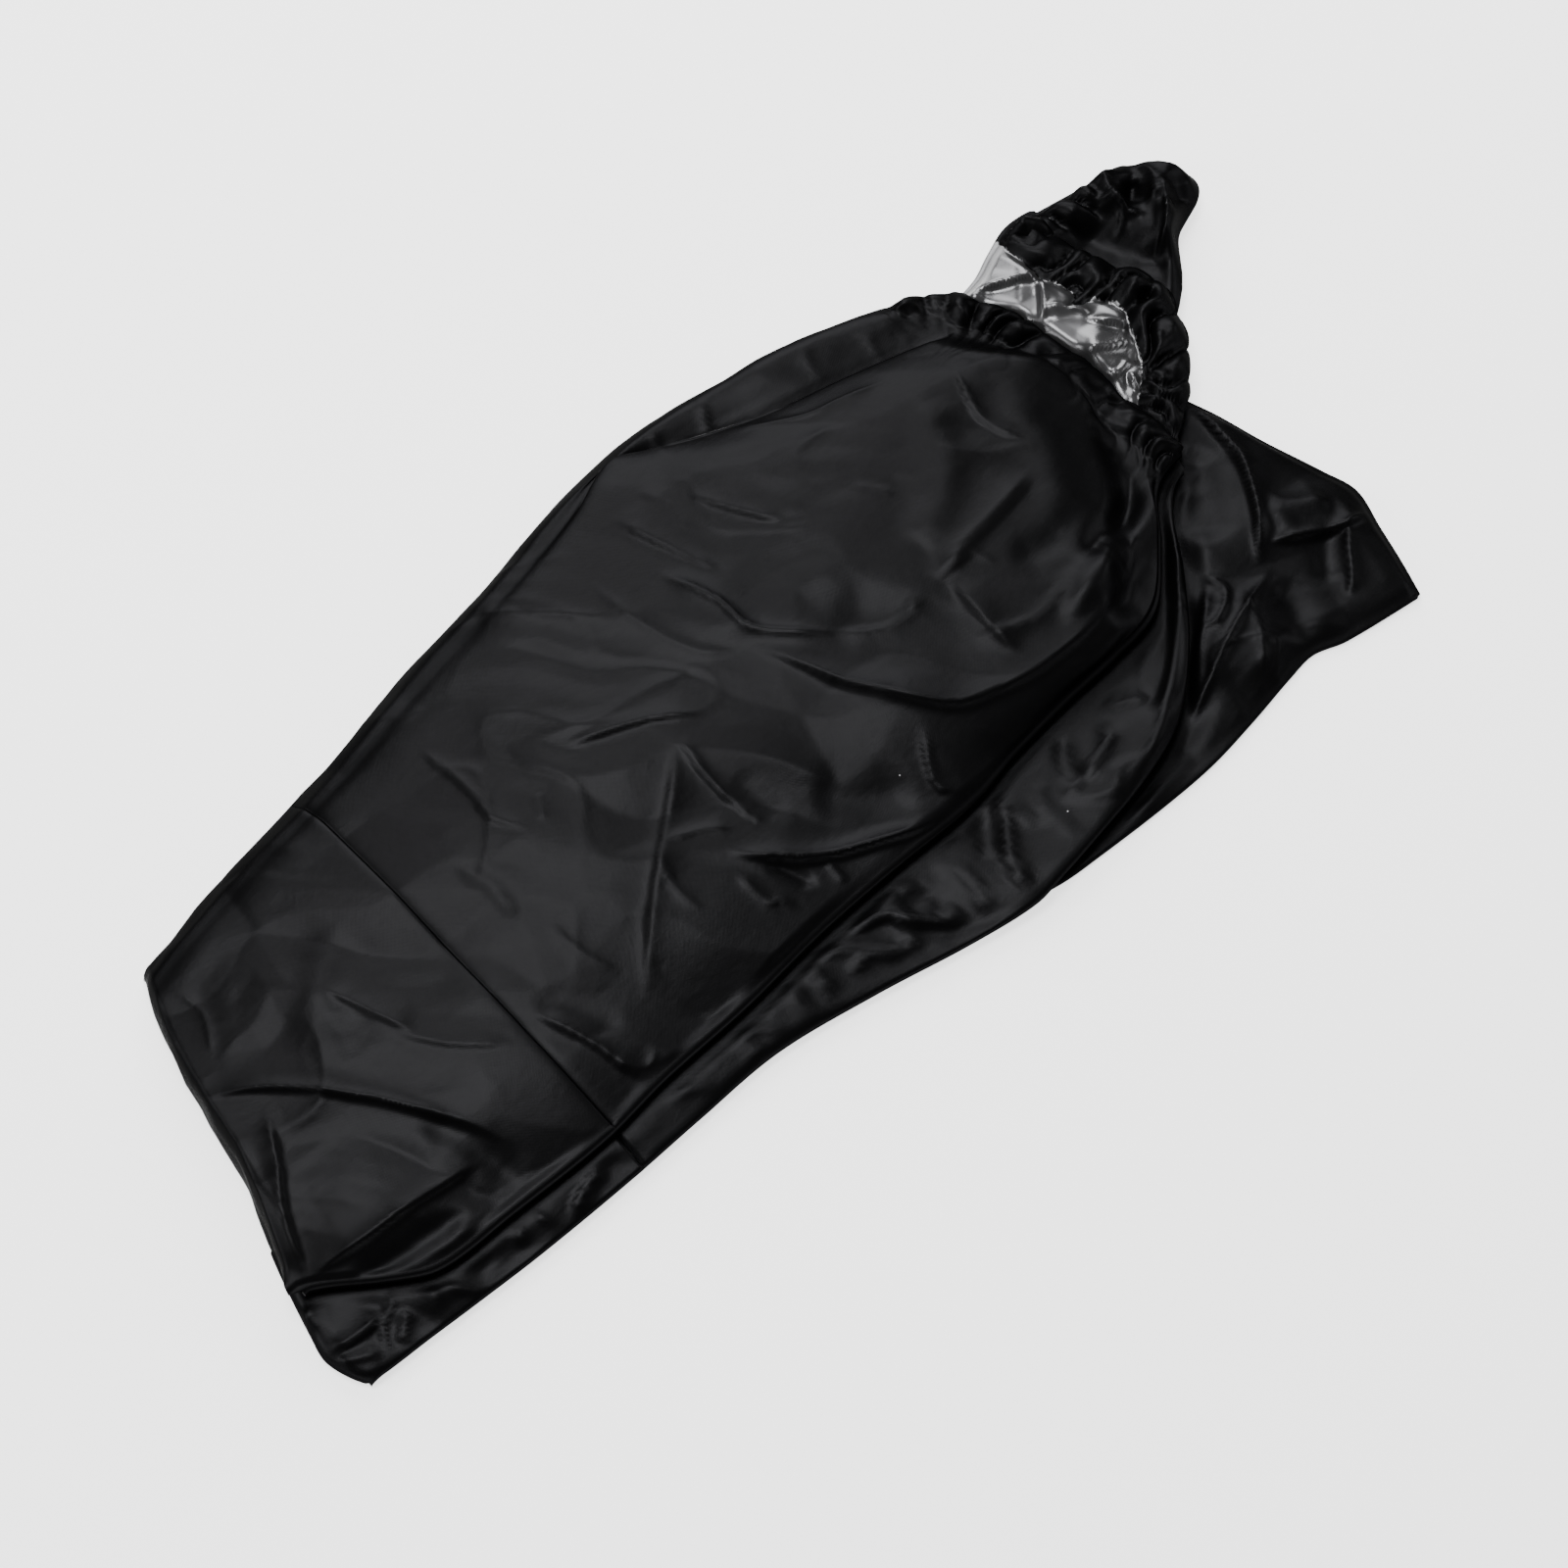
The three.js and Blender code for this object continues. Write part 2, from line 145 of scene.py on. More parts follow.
class Curve:
    """Smooth curve through rows of a place and a value, level outside them."""

    def __init__(self, rows: tuple[tuple[float, float], ...]) -> None:
        """Keeps the rows and their slopes.

        Args:
            rows: pairs of a place and the value there, with rising places.
        """
        self.places, self.values = np.array(rows, dtype=float).T
        before = np.maximum(np.arange(len(rows)) - 1, 0)
        after = np.minimum(np.arange(len(rows)) + 1, len(rows) - 1)
        self.slopes = (self.values[after] - self.values[before]) / (self.places[after] - self.places[before])

    def __call__(self, place: np.ndarray | float) -> np.ndarray:
        """Gives the curve's value at each place."""
        p = np.clip(place, self.places[0], self.places[-1])
        i = np.clip(np.searchsorted(self.places, p, side="left") - 1, 0, len(self.places) - 2)
        width = self.places[i + 1] - self.places[i]
        t = (p - self.places[i]) / width
        start, stop = self.values[i], self.values[i + 1]
        lean_in, lean_out = self.slopes[i] * width, self.slopes[i + 1] * width
        level = (1 + 2 * t) * (1 - t) ** 2 * start + t * t * (3 - 2 * t) * stop
        return level + t * (1 - t) ** 2 * lean_in - t * t * (1 - t) * lean_out


class HemLine:
    """Edge of a hem in plan, with places measured along it."""

    def __init__(self, rows: tuple[tuple[float, float], ...]) -> None:
        """Keeps the edge as a curve, and its length up to each place.

        Args:
            rows: pairs of Y and the edge's X there.
        """
        self.edge = Curve(rows)
        self.y = np.linspace(rows[0][0] - 60, rows[-1][0] + 60, 400)
        steps = np.hypot(np.diff(self.y), np.diff(self.edge(self.y)))
        self.length = np.concatenate([[0], np.cumsum(steps)])

    def measure(self, x: np.ndarray, y: np.ndarray) -> tuple[np.ndarray, np.ndarray]:
        """Gives each point's place along the hem and its distance from the edge."""
        slope = (self.edge(y + 1.5) - self.edge(y - 1.5)) / 3
        gap = self.edge(y) - x
        foot = y - slope * gap / (1 + slope * slope)
        return np.interp(foot, self.y, self.length), gap / np.sqrt(1 + slope * slope)


class Profile(Enum):
    """Shape of a crease across its line."""

    RIDGE = "ridge"
    SOFT = "soft"
    STEP = "step"


def smooth_line(points: np.ndarray, steps: int = 5) -> np.ndarray:
    """Runs a smooth line through a few points.

    Args:
        points: the points, one to a row.
        steps: how many short pieces lie between each two points.

    Returns:
        The points of the smooth line.
    """
    padded = np.concatenate([points[:1], points, points[-1:]])
    w = (np.arange(steps) / steps)[:, None]
    pieces = []
    for a, b, c, d in zip(padded, padded[1:], padded[2:], padded[3:]):
        pieces.append(
            b + w * (c - a) / 2 + w * w * (a - 2.5 * b + 2 * c - d / 2) + w**3 * (1.5 * (b - c) + (d - a) / 2)
        )
    return np.concatenate([*pieces, points[-1:]])


@dataclass(frozen=True)
class Crease:
    """One crease in the cloth, along a line of plan points in millimetres."""

    line: tuple[tuple[float, float], ...]
    height: float
    width: float
    profile: Profile = Profile.RIDGE

    def relief(self, x: np.ndarray, y: np.ndarray) -> np.ndarray:
        """Gives the crease's height at plan places.

        Args:
            x: places along the bundle.
            y: places across the bundle.

        Returns:
            Height above the plain cloth, fading towards both ends of the line.
        """
        reach = 5 * self.width
        points = smooth_line(np.array(self.line, dtype=float))
        low, high = points.min(axis=0) - reach, points.max(axis=0) + reach
        near = (x > low[0]) & (x < high[0]) & (y > low[1]) & (y < high[1])
        raised = np.zeros_like(x)
        px, py = x[near], y[near]
        best, along, side = np.full(px.shape, 1e9), np.zeros(px.shape), np.ones(px.shape)
        total = np.linalg.norm(np.diff(points, axis=0), axis=1).sum()
        done = 0.0
        for a, b in zip(points[:-1], points[1:]):
            dx, dy = b - a
            length = math.hypot(dx, dy)
            share = np.clip(((px - a[0]) * dx + (py - a[1]) * dy) / length**2, 0, 1)
            ox, oy = px - a[0] - share * dx, py - a[1] - share * dy
            gap = np.hypot(ox, oy)
            closer = gap < best
            best = np.where(closer, gap, best)
            along = np.where(closer, (done + share * length) / total, along)
            side = np.where(closer, np.sign(dx * oy - dy * ox), side)
            done += length
        fade = ease(along, 0.0, 0.25) * (1 - ease(along, 0.75, 1.0))
        spread = best / (self.width * (0.5 + 0.5 * fade))
        match self.profile:
            case Profile.RIDGE:
                shape = 0.6 * np.exp(-spread) + 0.4 * np.exp(-4 * spread)
            case Profile.SOFT:
                shape = np.exp(-spread * spread)
            case Profile.STEP:
                shape = np.where(side > 0, np.exp(-spread), np.exp(-5 * spread))
        raised[near] = self.height * fade * shape * (1 - ease(spread, 3.4, 5.0))
        return raised


def scatter(cell_u: np.ndarray, cell_v: np.ndarray, seed: int) -> np.ndarray:
    """Gives each cell of a grid its own number from 0 to 1, the same in every run."""
    turn = np.sin(cell_u * 127.1 + cell_v * 311.7 + seed * 74.7) * 43758.5453
    return turn - np.floor(turn)


def soft_noise(u: np.ndarray, v: np.ndarray, seed: int) -> np.ndarray:
    """Gives smooth noise from -1 to 1, with a wave about every two units."""
    cell_u, cell_v = np.floor(u), np.floor(v)
    s, t = u - cell_u, v - cell_v
    s, t = s**3 * (s * (6 * s - 15) + 10), t**3 * (t * (6 * t - 15) + 10)
    low = mix(scatter(cell_u, cell_v, seed), scatter(cell_u + 1, cell_v, seed), s)
    high = mix(scatter(cell_u, cell_v + 1, seed), scatter(cell_u + 1, cell_v + 1, seed), s)
    return 2 * mix(low, high, t) - 1


def facets(u: np.ndarray, v: np.ndarray, seed: int) -> np.ndarray:
    """Gives flat triangles that meet in sharp edges, from -1 to 1, with corners about a unit apart."""
    turn = (u + v) * 0.366
    cell_u, cell_v = np.floor(u + turn), np.floor(v + turn)
    s, t = u + turn - cell_u, v + turn - cell_v
    start, far = scatter(cell_u, cell_v, seed), scatter(cell_u + 1, cell_v + 1, seed)
    side = scatter(cell_u + (s > t), cell_v + (s <= t), seed)
    return 2 * (start + (side - start) * np.maximum(s, t) + (far - side) * np.minimum(s, t)) - 1


@dataclass(frozen=True)
class Handling:
    """Small unevenness that handling leaves in the cloth: flat facets, and thin creases between them."""

    seed: int
    lean: float = -42.0
    facet_height: float = 4.6
    facet_size: float = 60.0
    crease_height: float = 1.1
    crease_size: float = 44.0
    fine_height: float = 0.8
    fine_size: float = 21.0

    def relief(self, x: np.ndarray, y: np.ndarray) -> np.ndarray:
        """Gives the height of the unevenness at plan places."""
        c, s = math.cos(math.radians(self.lean)), math.sin(math.radians(self.lean))
        u, v = (c * x + s * y) / 1.9, c * y - s * x
        u = u + 11 * soft_noise(x / 70, y / 70, self.seed + 1)
        v = v + 17 * soft_noise(x / 60, y / 60, self.seed + 2)
        planes = facets(u / self.facet_size, v / self.facet_size, self.seed + 3)
        line = 1 - np.abs(soft_noise(u / self.crease_size, v / self.crease_size, self.seed + 4))
        where = ease(soft_noise(x / 66, y / 66, self.seed + 5), -0.25, 0.5)
        fine = facets(v / self.fine_size, u / self.fine_size, self.seed + 6)
        return (
            self.facet_height * planes
            + self.crease_height * where * np.clip(line, 0, 1) ** 9
            + self.fine_height * (0.3 + where) * fine
        )


@dataclass(frozen=True)
class Ruffles:
    """Hem gathered on elastic: puffs over the casing, and folds that run on from its stitching."""

    pitch: float
    height: float
    casing: float
    seed: int
    reach: float = 26.0

    def puffs(self, place: np.ndarray, edge: np.ndarray) -> np.ndarray:
        """Gives the rounded puffs along the hem, from 0 in a gather to about 1.

        Args:
            place: places along the hem.
            edge: distance from the hem's edge.

        Returns:
            The height of the puffs.
        """
        lean = 0.5 * soft_noise(place / 27, edge / 17, self.seed)
        lean = lean + 0.016 * edge * np.sin(place / 31 + self.seed)
        turn = place / self.pitch + 0.5 * np.sin(place / 29 + self.seed) + lean
        cell = np.floor(turn)
        share = turn - cell
        skew = share ** (0.75 + 0.6 * scatter(cell, cell, self.seed + 2))
        size = 0.55 + 0.6 * scatter(cell, 0 * cell, self.seed + 3)
        return size * np.sin(np.pi * skew) ** 0.62

    def lift(self, place: np.ndarray, edge: np.ndarray) -> np.ndarray:
        """Gives the height of the hem over the plain cloth, for the same arguments."""
        puff = self.puffs(place, edge)
        on_casing = 1 - ease(edge, self.casing - 1, self.casing + 3)
        across = np.clip((edge + 1.5) / (self.casing + 3), 0, 1)
        rounded = np.sin(np.pi * across) ** 0.5
        fold = 0.55 * puff + 0.45 * self.puffs(place * 0.53 + 40, edge)
        beyond = (1 - on_casing) * np.exp(-np.clip(edge - self.casing, 0, None) / self.reach)
        small = 0.2 * facets(place / 11, edge / 11, self.seed)
        return self.height * (on_casing * rounded * (0.25 + puff + small) + 0.55 * beyond * fold)


@dataclass
class Bundle:
    """Main folds of the cover, as sections across the bundle, in millimetres."""

    sections: tuple[tuple[float, ...], ...] = SECTIONS
    at: dict[str, Curve] = field(default_factory=dict)
    front_hem: HemLine = field(default_factory=lambda: HemLine(FRONT_HEM))
    back_hem: HemLine = field(default_factory=lambda: HemLine(BACK_HEM))
    bunch_edge: Curve = field(default_factory=lambda: Curve(BUNCH_EDGE))
    fan_edge: Curve = field(default_factory=lambda: Curve(FAN_EDGE))
    closed_foot: Curve = field(default_factory=lambda: Curve(CLOSED_FOOT))
    bag_edge: Curve = field(default_factory=lambda: Curve(BAG_EDGE))
    inner_side: Curve = field(default_factory=lambda: Curve(INNER_SIDE))

    def __post_init__(self) -> None:
        """Makes a smooth curve along the bundle for each named column of the sections."""
        for i, name in enumerate(SECTION_COLUMNS[1:], start=1):
            self.at[name] = Curve(tuple((row[0], row[i]) for row in self.sections))

    def layer(self, number: int, x: np.ndarray) -> np.ndarray:
        """Gives the height of one of the layers under the top, counted from the floor."""
        return FLOOR_LAYER + (number - 1) * mix(LAYER_STEP, MOUTH_LAYER_STEP, ease(x, 200, 300))

    def lip_radius(self, x: np.ndarray) -> np.ndarray:
        """Gives half the height of the fold at the lip."""
        return (self.at["lip_z"](x) - self.layer(5, x)) / 2

    def inner_radius(self, x: np.ndarray) -> np.ndarray:
        """Gives half the height of the folds at the rolled side."""
        return (self.layer(5, x) - self.layer(4, x)) / 2

    def band_radius(self, x: np.ndarray) -> np.ndarray:
        """Gives half the height of the band's fold."""
        return (self.at["band_z"](x) - self.at["band_low_z"](x)) / 2

    def top_section(self, t: np.ndarray, x: np.ndarray) -> tuple[np.ndarray, np.ndarray]:
        """Gives the plain top layer from the rolled side's foot to the lip.

        Args:
            t: share of the way through the section's key points.
            x: place along the bundle.

        Returns:
            Y and Z of each point.
        """
        at = self.at
        keys_y = np.stack([
            at["roll_y"](x), at["roll_y"](x) + 1, at["roll_y"](x) - 10, at["pleat_y"](x), at["ridge_y"](x),
            at["crown_y"](x), at["shelf_y"](x), at["lip_y"](x) + self.lip_radius(x),
        ])
        keys_z = np.stack([
            0 * x, 0.55 * at["roll_z"](x), at["roll_z"](x), at["pleat_z"](x), at["ridge_z"](x),
            at["crown_z"](x), at["shelf_z"](x), at["lip_z"](x),
        ])
        last = keys_y.shape[0] - 1
        i = np.clip(np.floor(t * last).astype(int), 0, last - 1)
        w = t * last - i

        def spline(keys: np.ndarray) -> np.ndarray:
            """Runs a smooth curve through the key points."""
            places = (np.clip(i + k, 0, last)[None] for k in (-1, 0, 1, 2))
            a, b, c, d = (np.take_along_axis(keys, place, 0)[0] for place in places)
            lean_in, lean_out = (c - a) / 2, (d - b) / 2
            return (
                (2 * b - 2 * c + lean_in + lean_out) * w**3
                + (-3 * b + 3 * c - 2 * lean_in - lean_out) * w**2 + lean_in * w + b
            )

        y, z = spline(keys_y), spline(keys_z)
        dents = (1 - ease(t, 0.1, 0.42)) * (1 + facets(x / 36, z / 14, 6))
        return y - 1.3 * dents, z

    def fold(
        self, y: np.ndarray, top: np.ndarray, radius: np.ndarray, turn: np.ndarray, side: int
    ) -> tuple[np.ndarray, np.ndarray]:
        """Gives a half circle from one layer down to the next.

        Args:
            y: outermost place of the fold.
            top: height of its upper layer.
            radius: half of its height.
            turn: share of the way round.
            side: 1 where it opens towards +Y, and -1 where it opens towards -Y.

        Returns:
            Y and Z of each point.
        """
        angle = np.pi * turn
        return y + side * radius * (1 - np.sin(angle)), top - radius * (1 - np.cos(angle))


class ClothGrid:
    """Grid of cloth laid by arrays of points, with its own UV map in metres of cloth."""

    def __init__(self, name: str, points: np.ndarray) -> None:
        """Keeps the grid's points.

        Args:
            name: name of the piece.
            points: rows by columns by 3, in millimetres about the tables' middle.
        """
        self.name = name
        self.points = points
        self.inside_black = np.zeros((points.shape[0] - 1, points.shape[1] - 1), dtype=bool)

    def normals(self) -> np.ndarray:
        """Gives the outward direction of the cloth at each point."""
        along = np.gradient(self.points, axis=0)
        across = np.gradient(self.points, axis=1)
        normal = np.cross(across, along)
        return normal / np.maximum(np.linalg.norm(normal, axis=2, keepdims=True), 1e-9)

    def raise_by(self, height: np.ndarray) -> None:
        """Lifts each point by a height in millimetres, and less where the cloth is steep."""
        level = ease(np.abs(self.normals()[..., 2]), 0.1, 0.75)
        self.points[..., 2] += height * level

    def cloth_lengths(self) -> tuple[np.ndarray, np.ndarray]:
        """Gives the cloth's lengths along its rows and across its columns, in metres."""
        steps_along = np.linalg.norm(np.diff(self.points, axis=0), axis=2).mean(axis=1)
        steps_across = np.linalg.norm(np.diff(self.points, axis=1), axis=2).mean(axis=0)
        along = np.concatenate([[0], np.cumsum(steps_along)]) * MM
        across = np.concatenate([[0], np.cumsum(steps_across)]) * MM
        return along, across

    def build(self, finishes: list[bpy.types.Material]) -> bpy.types.Object:
        """Makes the piece: a grid moved to its points, given thickness and finishes.

        Args:
            finishes: outer and inner finish, and the outer one again for a turned-in casing.

        Returns:
            The piece, riding on the root body.
        """
        rows, columns = self.points.shape[:2]
        bm = bmesh.new()
        uv_layer = bm.loops.layers.uv.new("cloth")
        bmesh.ops.create_grid(bm, x_segments=columns - 1, y_segments=rows - 1, size=1)
        mesh = bpy.data.meshes.new(self.name)
        bm.to_mesh(mesh)
        bm.free()
        flat = np.empty(len(mesh.vertices) * 3)
        mesh.vertices.foreach_get("co", flat)
        flat = flat.reshape(-1, 3)
        column = np.rint((flat[:, 0] + 1) / 2 * (columns - 1)).astype(int)
        row = np.rint((flat[:, 1] + 1) / 2 * (rows - 1)).astype(int)
        placed = (self.points[row, column] + SHIFT) * MM
        placed[:, 2] = np.maximum(placed[:, 2], 0.0002)
        mesh.vertices.foreach_set("co", placed.ravel())
        along, across = self.cloth_lengths()
        corner = np.empty(len(mesh.loops), dtype=int)
        mesh.loops.foreach_get("vertex_index", corner)
        uv = np.stack([along[row[corner]], across[column[corner]]], axis=1)
        mesh.uv_layers["cloth"].data.foreach_set("uv", uv.ravel())
        for finish in finishes:
            mesh.materials.append(finish)
        first = np.empty(len(mesh.polygons), dtype=int)
        mesh.polygons.foreach_get("loop_start", first)
        face_row = row[corner].reshape(-1, 4).min(axis=1)
        face_column = column[corner].reshape(-1, 4).min(axis=1)
        index = np.where(self.inside_black[face_row, face_column], 2, 0)
        mesh.polygons.foreach_set("material_index", index.astype(np.int32))
        mesh.shade_smooth()
        mesh.update()
        piece = bpy.data.objects.new(self.name, mesh)
        bpy.context.scene.collection.objects.link(piece)
        shell = piece.modifiers.new("cloth thickness", "SOLIDIFY")
        shell.thickness = CLOTH * MM
        shell.offset = -1
        shell.material_offset = 1
        shell.use_even_offset = False
        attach(piece, "root")
        log.info("%s: %d by %d points", self.name, rows, columns)
        return piece


class Value:
    """A shader socket with the sums that the finishes use."""

    def __init__(self, graph: Graph, socket: bpy.types.NodeSocket) -> None:
        """Keeps the socket and the graph that it is in."""
        self.graph = graph
        self.socket = socket

    def _sum(self, operation: str, first: Value | float, second: Value | float) -> Value:
        """Adds a Math node for one operation on two values."""
        return self.graph.node("ShaderNodeMath", {"operation": operation}, {0: first, 1: second})

    def __add__(self, other: Value | float) -> Value:
        """Adds."""
        return self._sum("ADD", self, other)

    __radd__ = __add__

    def __sub__(self, other: Value | float) -> Value:
        """Takes away."""
        return self._sum("SUBTRACT", self, other)

    def __rsub__(self, other: Value | float) -> Value:
        """Is taken away from a number."""
        return self._sum("SUBTRACT", other, self)

    def __mul__(self, other: Value | float) -> Value:
        """Multiplies."""
        return self._sum("MULTIPLY", self, other)

    __rmul__ = __mul__

    def __gt__(self, other: float) -> Value:
        """Gives 1 where it is greater."""
        return self._sum("GREATER_THAN", self, other)

    def __lt__(self, other: float) -> Value:
        """Gives 1 where it is less."""
        return self._sum("LESS_THAN", self, other)

    def __abs__(self) -> Value:
        """Gives the distance from zero."""
        return self.graph.node("ShaderNodeMath", {"operation": "ABSOLUTE"}, {0: self})

    def sine(self) -> Value:
        """Gives the sine."""
        return self.graph.node("ShaderNodeMath", {"operation": "SINE"}, {0: self})


class Graph:
    """The nodes of one finish."""

    def __init__(self, name: str) -> None:
        """Starts a material with an empty graph."""
        self.material = bpy.data.materials.new(name)
        self.material.use_nodes = True
        self.tree = self.material.node_tree
        self.tree.nodes.clear()

    def node(
        self, kind: str, settings: dict[str, object], inputs: dict[int | str, object], output: int | str = 0
    ) -> Value:
        """Adds a node.

        Args:
            kind: the node's type.
            settings: its own settings, set before its sockets.
            inputs: values or links of its sockets, by place or name.
            output: the socket to give back, by place or name.

        Returns:
            The output as a value.
        """
        node = self.tree.nodes.new(kind)
        for key, setting in settings.items():
            setattr(node, key, setting)
        for key, value in inputs.items():
            if isinstance(value, Value):
                self.tree.links.new(value.socket, node.inputs[key])
            else:
                node.inputs[key].default_value = value
        return Value(self, node.outputs[output])

    def finish(self, shader: Value) -> bpy.types.Material:
        """Joins a shader to the material's surface and gives the material."""
        out = self.tree.nodes.new("ShaderNodeOutputMaterial")
        self.tree.links.new(shader.socket, out.inputs["Surface"])
        return self.material


def weave(graph: Graph, pitch: float) -> Value:
    """Gives the height of a plain weave, from -1 to 1.

    Args:
        graph: the finish's nodes.
        pitch: distance from one thread to the next, in metres.

    Returns:
        The height.
    """
    cloth = graph.node("ShaderNodeUVMap", {"uv_map": "cloth"}, {})
    along = graph.node("ShaderNodeSeparateXYZ", {}, {0: cloth}, "X")
    across = graph.node("ShaderNodeSeparateXYZ", {}, {0: cloth}, "Y")
    turn = math.pi / pitch
    return (along * turn).sine() * (across * turn).sine()


def noise(
    graph: Graph, scale: float, detail: float, stretch: tuple[float, float, float] = (1, 1, 1)
) -> Value:
    """Gives soft noise over the object.

    Args:
        graph: the finish's nodes.
        scale: how many waves to a metre.
        detail: how many finer waves are added.
        stretch: how much the noise is stretched along each axis.

    Returns:
        The noise, from 0 to 1.
    """
    place = graph.node("ShaderNodeTexCoord", {}, {}, "Object")
    turned = graph.node("ShaderNodeMapping", {}, {"Vector": place, "Scale": stretch})
    return graph.node("ShaderNodeTexNoise", {}, {"Vector": turned, "Scale": scale, "Detail": detail})


@dataclass(frozen=True)
class BlackCloth:
    """Outer face of the coated cloth: black, with a soft satin sheen and its weave."""

    name: str = "black_coated_cloth"
    colour: tuple[float, float, float] = (0.0102, 0.0102, 0.0108)
    lint: tuple[float, float, float] = (0.5, 0.5, 0.52)
    roughness: float = 0.41
    thread: float = 0.0006

    def make(self) -> bpy.types.Material:
        """Builds the finish and gives its material."""
        g = Graph(self.name)
        patch_noise = noise(g, 9, 3)
        place = g.node("ShaderNodeTexCoord", {}, {}, "Object")
        cells = {"Vector": place, "Scale": 42.0}
        speck = g.node("ShaderNodeTexVoronoi", {"feature": "F1"}, cells, "Distance")
        pick = g.node("ShaderNodeTexVoronoi", {"feature": "F1"}, cells, "Color")
        chosen = g.node("ShaderNodeSeparateColor", {}, {0: pick}, 0) > 0.93
        lint = (speck < 0.022) * chosen
        shade = g.node(
            "ShaderNodeMix", {"data_type": "RGBA"},
            {"Factor": lint, 6: (*self.colour, 1), 7: (*self.lint, 1)}, 2,
        )
        fine = abs(noise(g, 55, 4, (1, 1.7, 1)) - 0.5)
        soft = noise(g, 22, 2)
        folds = g.node("ShaderNodeBump", {}, {
            "Strength": 0.13, "Distance": 0.0022, "Height": soft - fine * 1.2,
        })
        threads = g.node("ShaderNodeBump", {}, {
            "Strength": 0.22, "Distance": 0.0001, "Height": weave(g, self.thread), "Normal": folds,
        })
        return g.finish(g.node("ShaderNodeBsdfPrincipled", {}, {
            "Base Color": shade,
            "Roughness": patch_noise * 0.12 + (self.roughness - 0.06),
            "Metallic": 0.92,
            "Specular IOR Level": 0.1,
            "Specular Tint": (0, 0, 0, 1),
            "Normal": threads,
        }))


@dataclass(frozen=True)
class SilverCoating:
    """Inner face of the coated cloth: a bright grey metallic coating over the weave, with painted reflection
    patches in its colour.
    """

    name: str = "silver_coating"
    colour: tuple[float, float, float] = (0.13, 0.13, 0.134)
    roughness: float = 0.28
    thread: float = 0.0006

    def make(self) -> bpy.types.Material:
        """Builds the finish and gives its material."""
        g = Graph(self.name)
        # Soft noise: it paints reflection patches into the base colour and varies the roughness
        patch_noise = noise(g, 30, 4)
        crinkle = noise(g, 48, 1, (1, 1.4, 1))
        folds = g.node("ShaderNodeBump", {}, {"Strength": 0.1, "Distance": 0.003, "Height": crinkle})
        threads = g.node("ShaderNodeBump", {}, {
            "Strength": 0.12, "Distance": 0.0001, "Height": weave(g, self.thread), "Normal": folds,
        })
        # Painted reflection: noise patches darken the base colour by up to a fifth, standing in for the light
        # and dark reflections of the folded coating
        tone = g.node("ShaderNodeMix", {"data_type": "RGBA"}, {
            "Factor": patch_noise, 6: (*(c * 0.82 for c in self.colour), 1), 7: (*self.colour, 1),
        }, 2)
        return g.finish(g.node("ShaderNodeBsdfPrincipled", {}, {
            "Base Color": tone,
            "Metallic": 0.85,
            "Roughness": patch_noise * 0.15 + (self.roughness - 0.07),
            "Normal": threads,
        }))


@dataclass(frozen=True)
class PaleFloor:
    """Plain pale floor under the cover."""

    name: str = "pale_floor"
    colour: tuple[float, float, float] = (0.9, 0.9, 0.9)
    glow: float = 1.8

    def make(self) -> bpy.types.Material:
        """Builds the finish and gives its material."""
        g = Graph(self.name)
        return g.finish(g.node("ShaderNodeBsdfPrincipled", {}, {
            "Base Color": (*self.colour, 1),
            "Roughness": 0.9,
            "Specular IOR Level": 0.2,
            "Emission Color": (1, 1, 1, 1),
            "Emission Strength": self.glow,
        }))


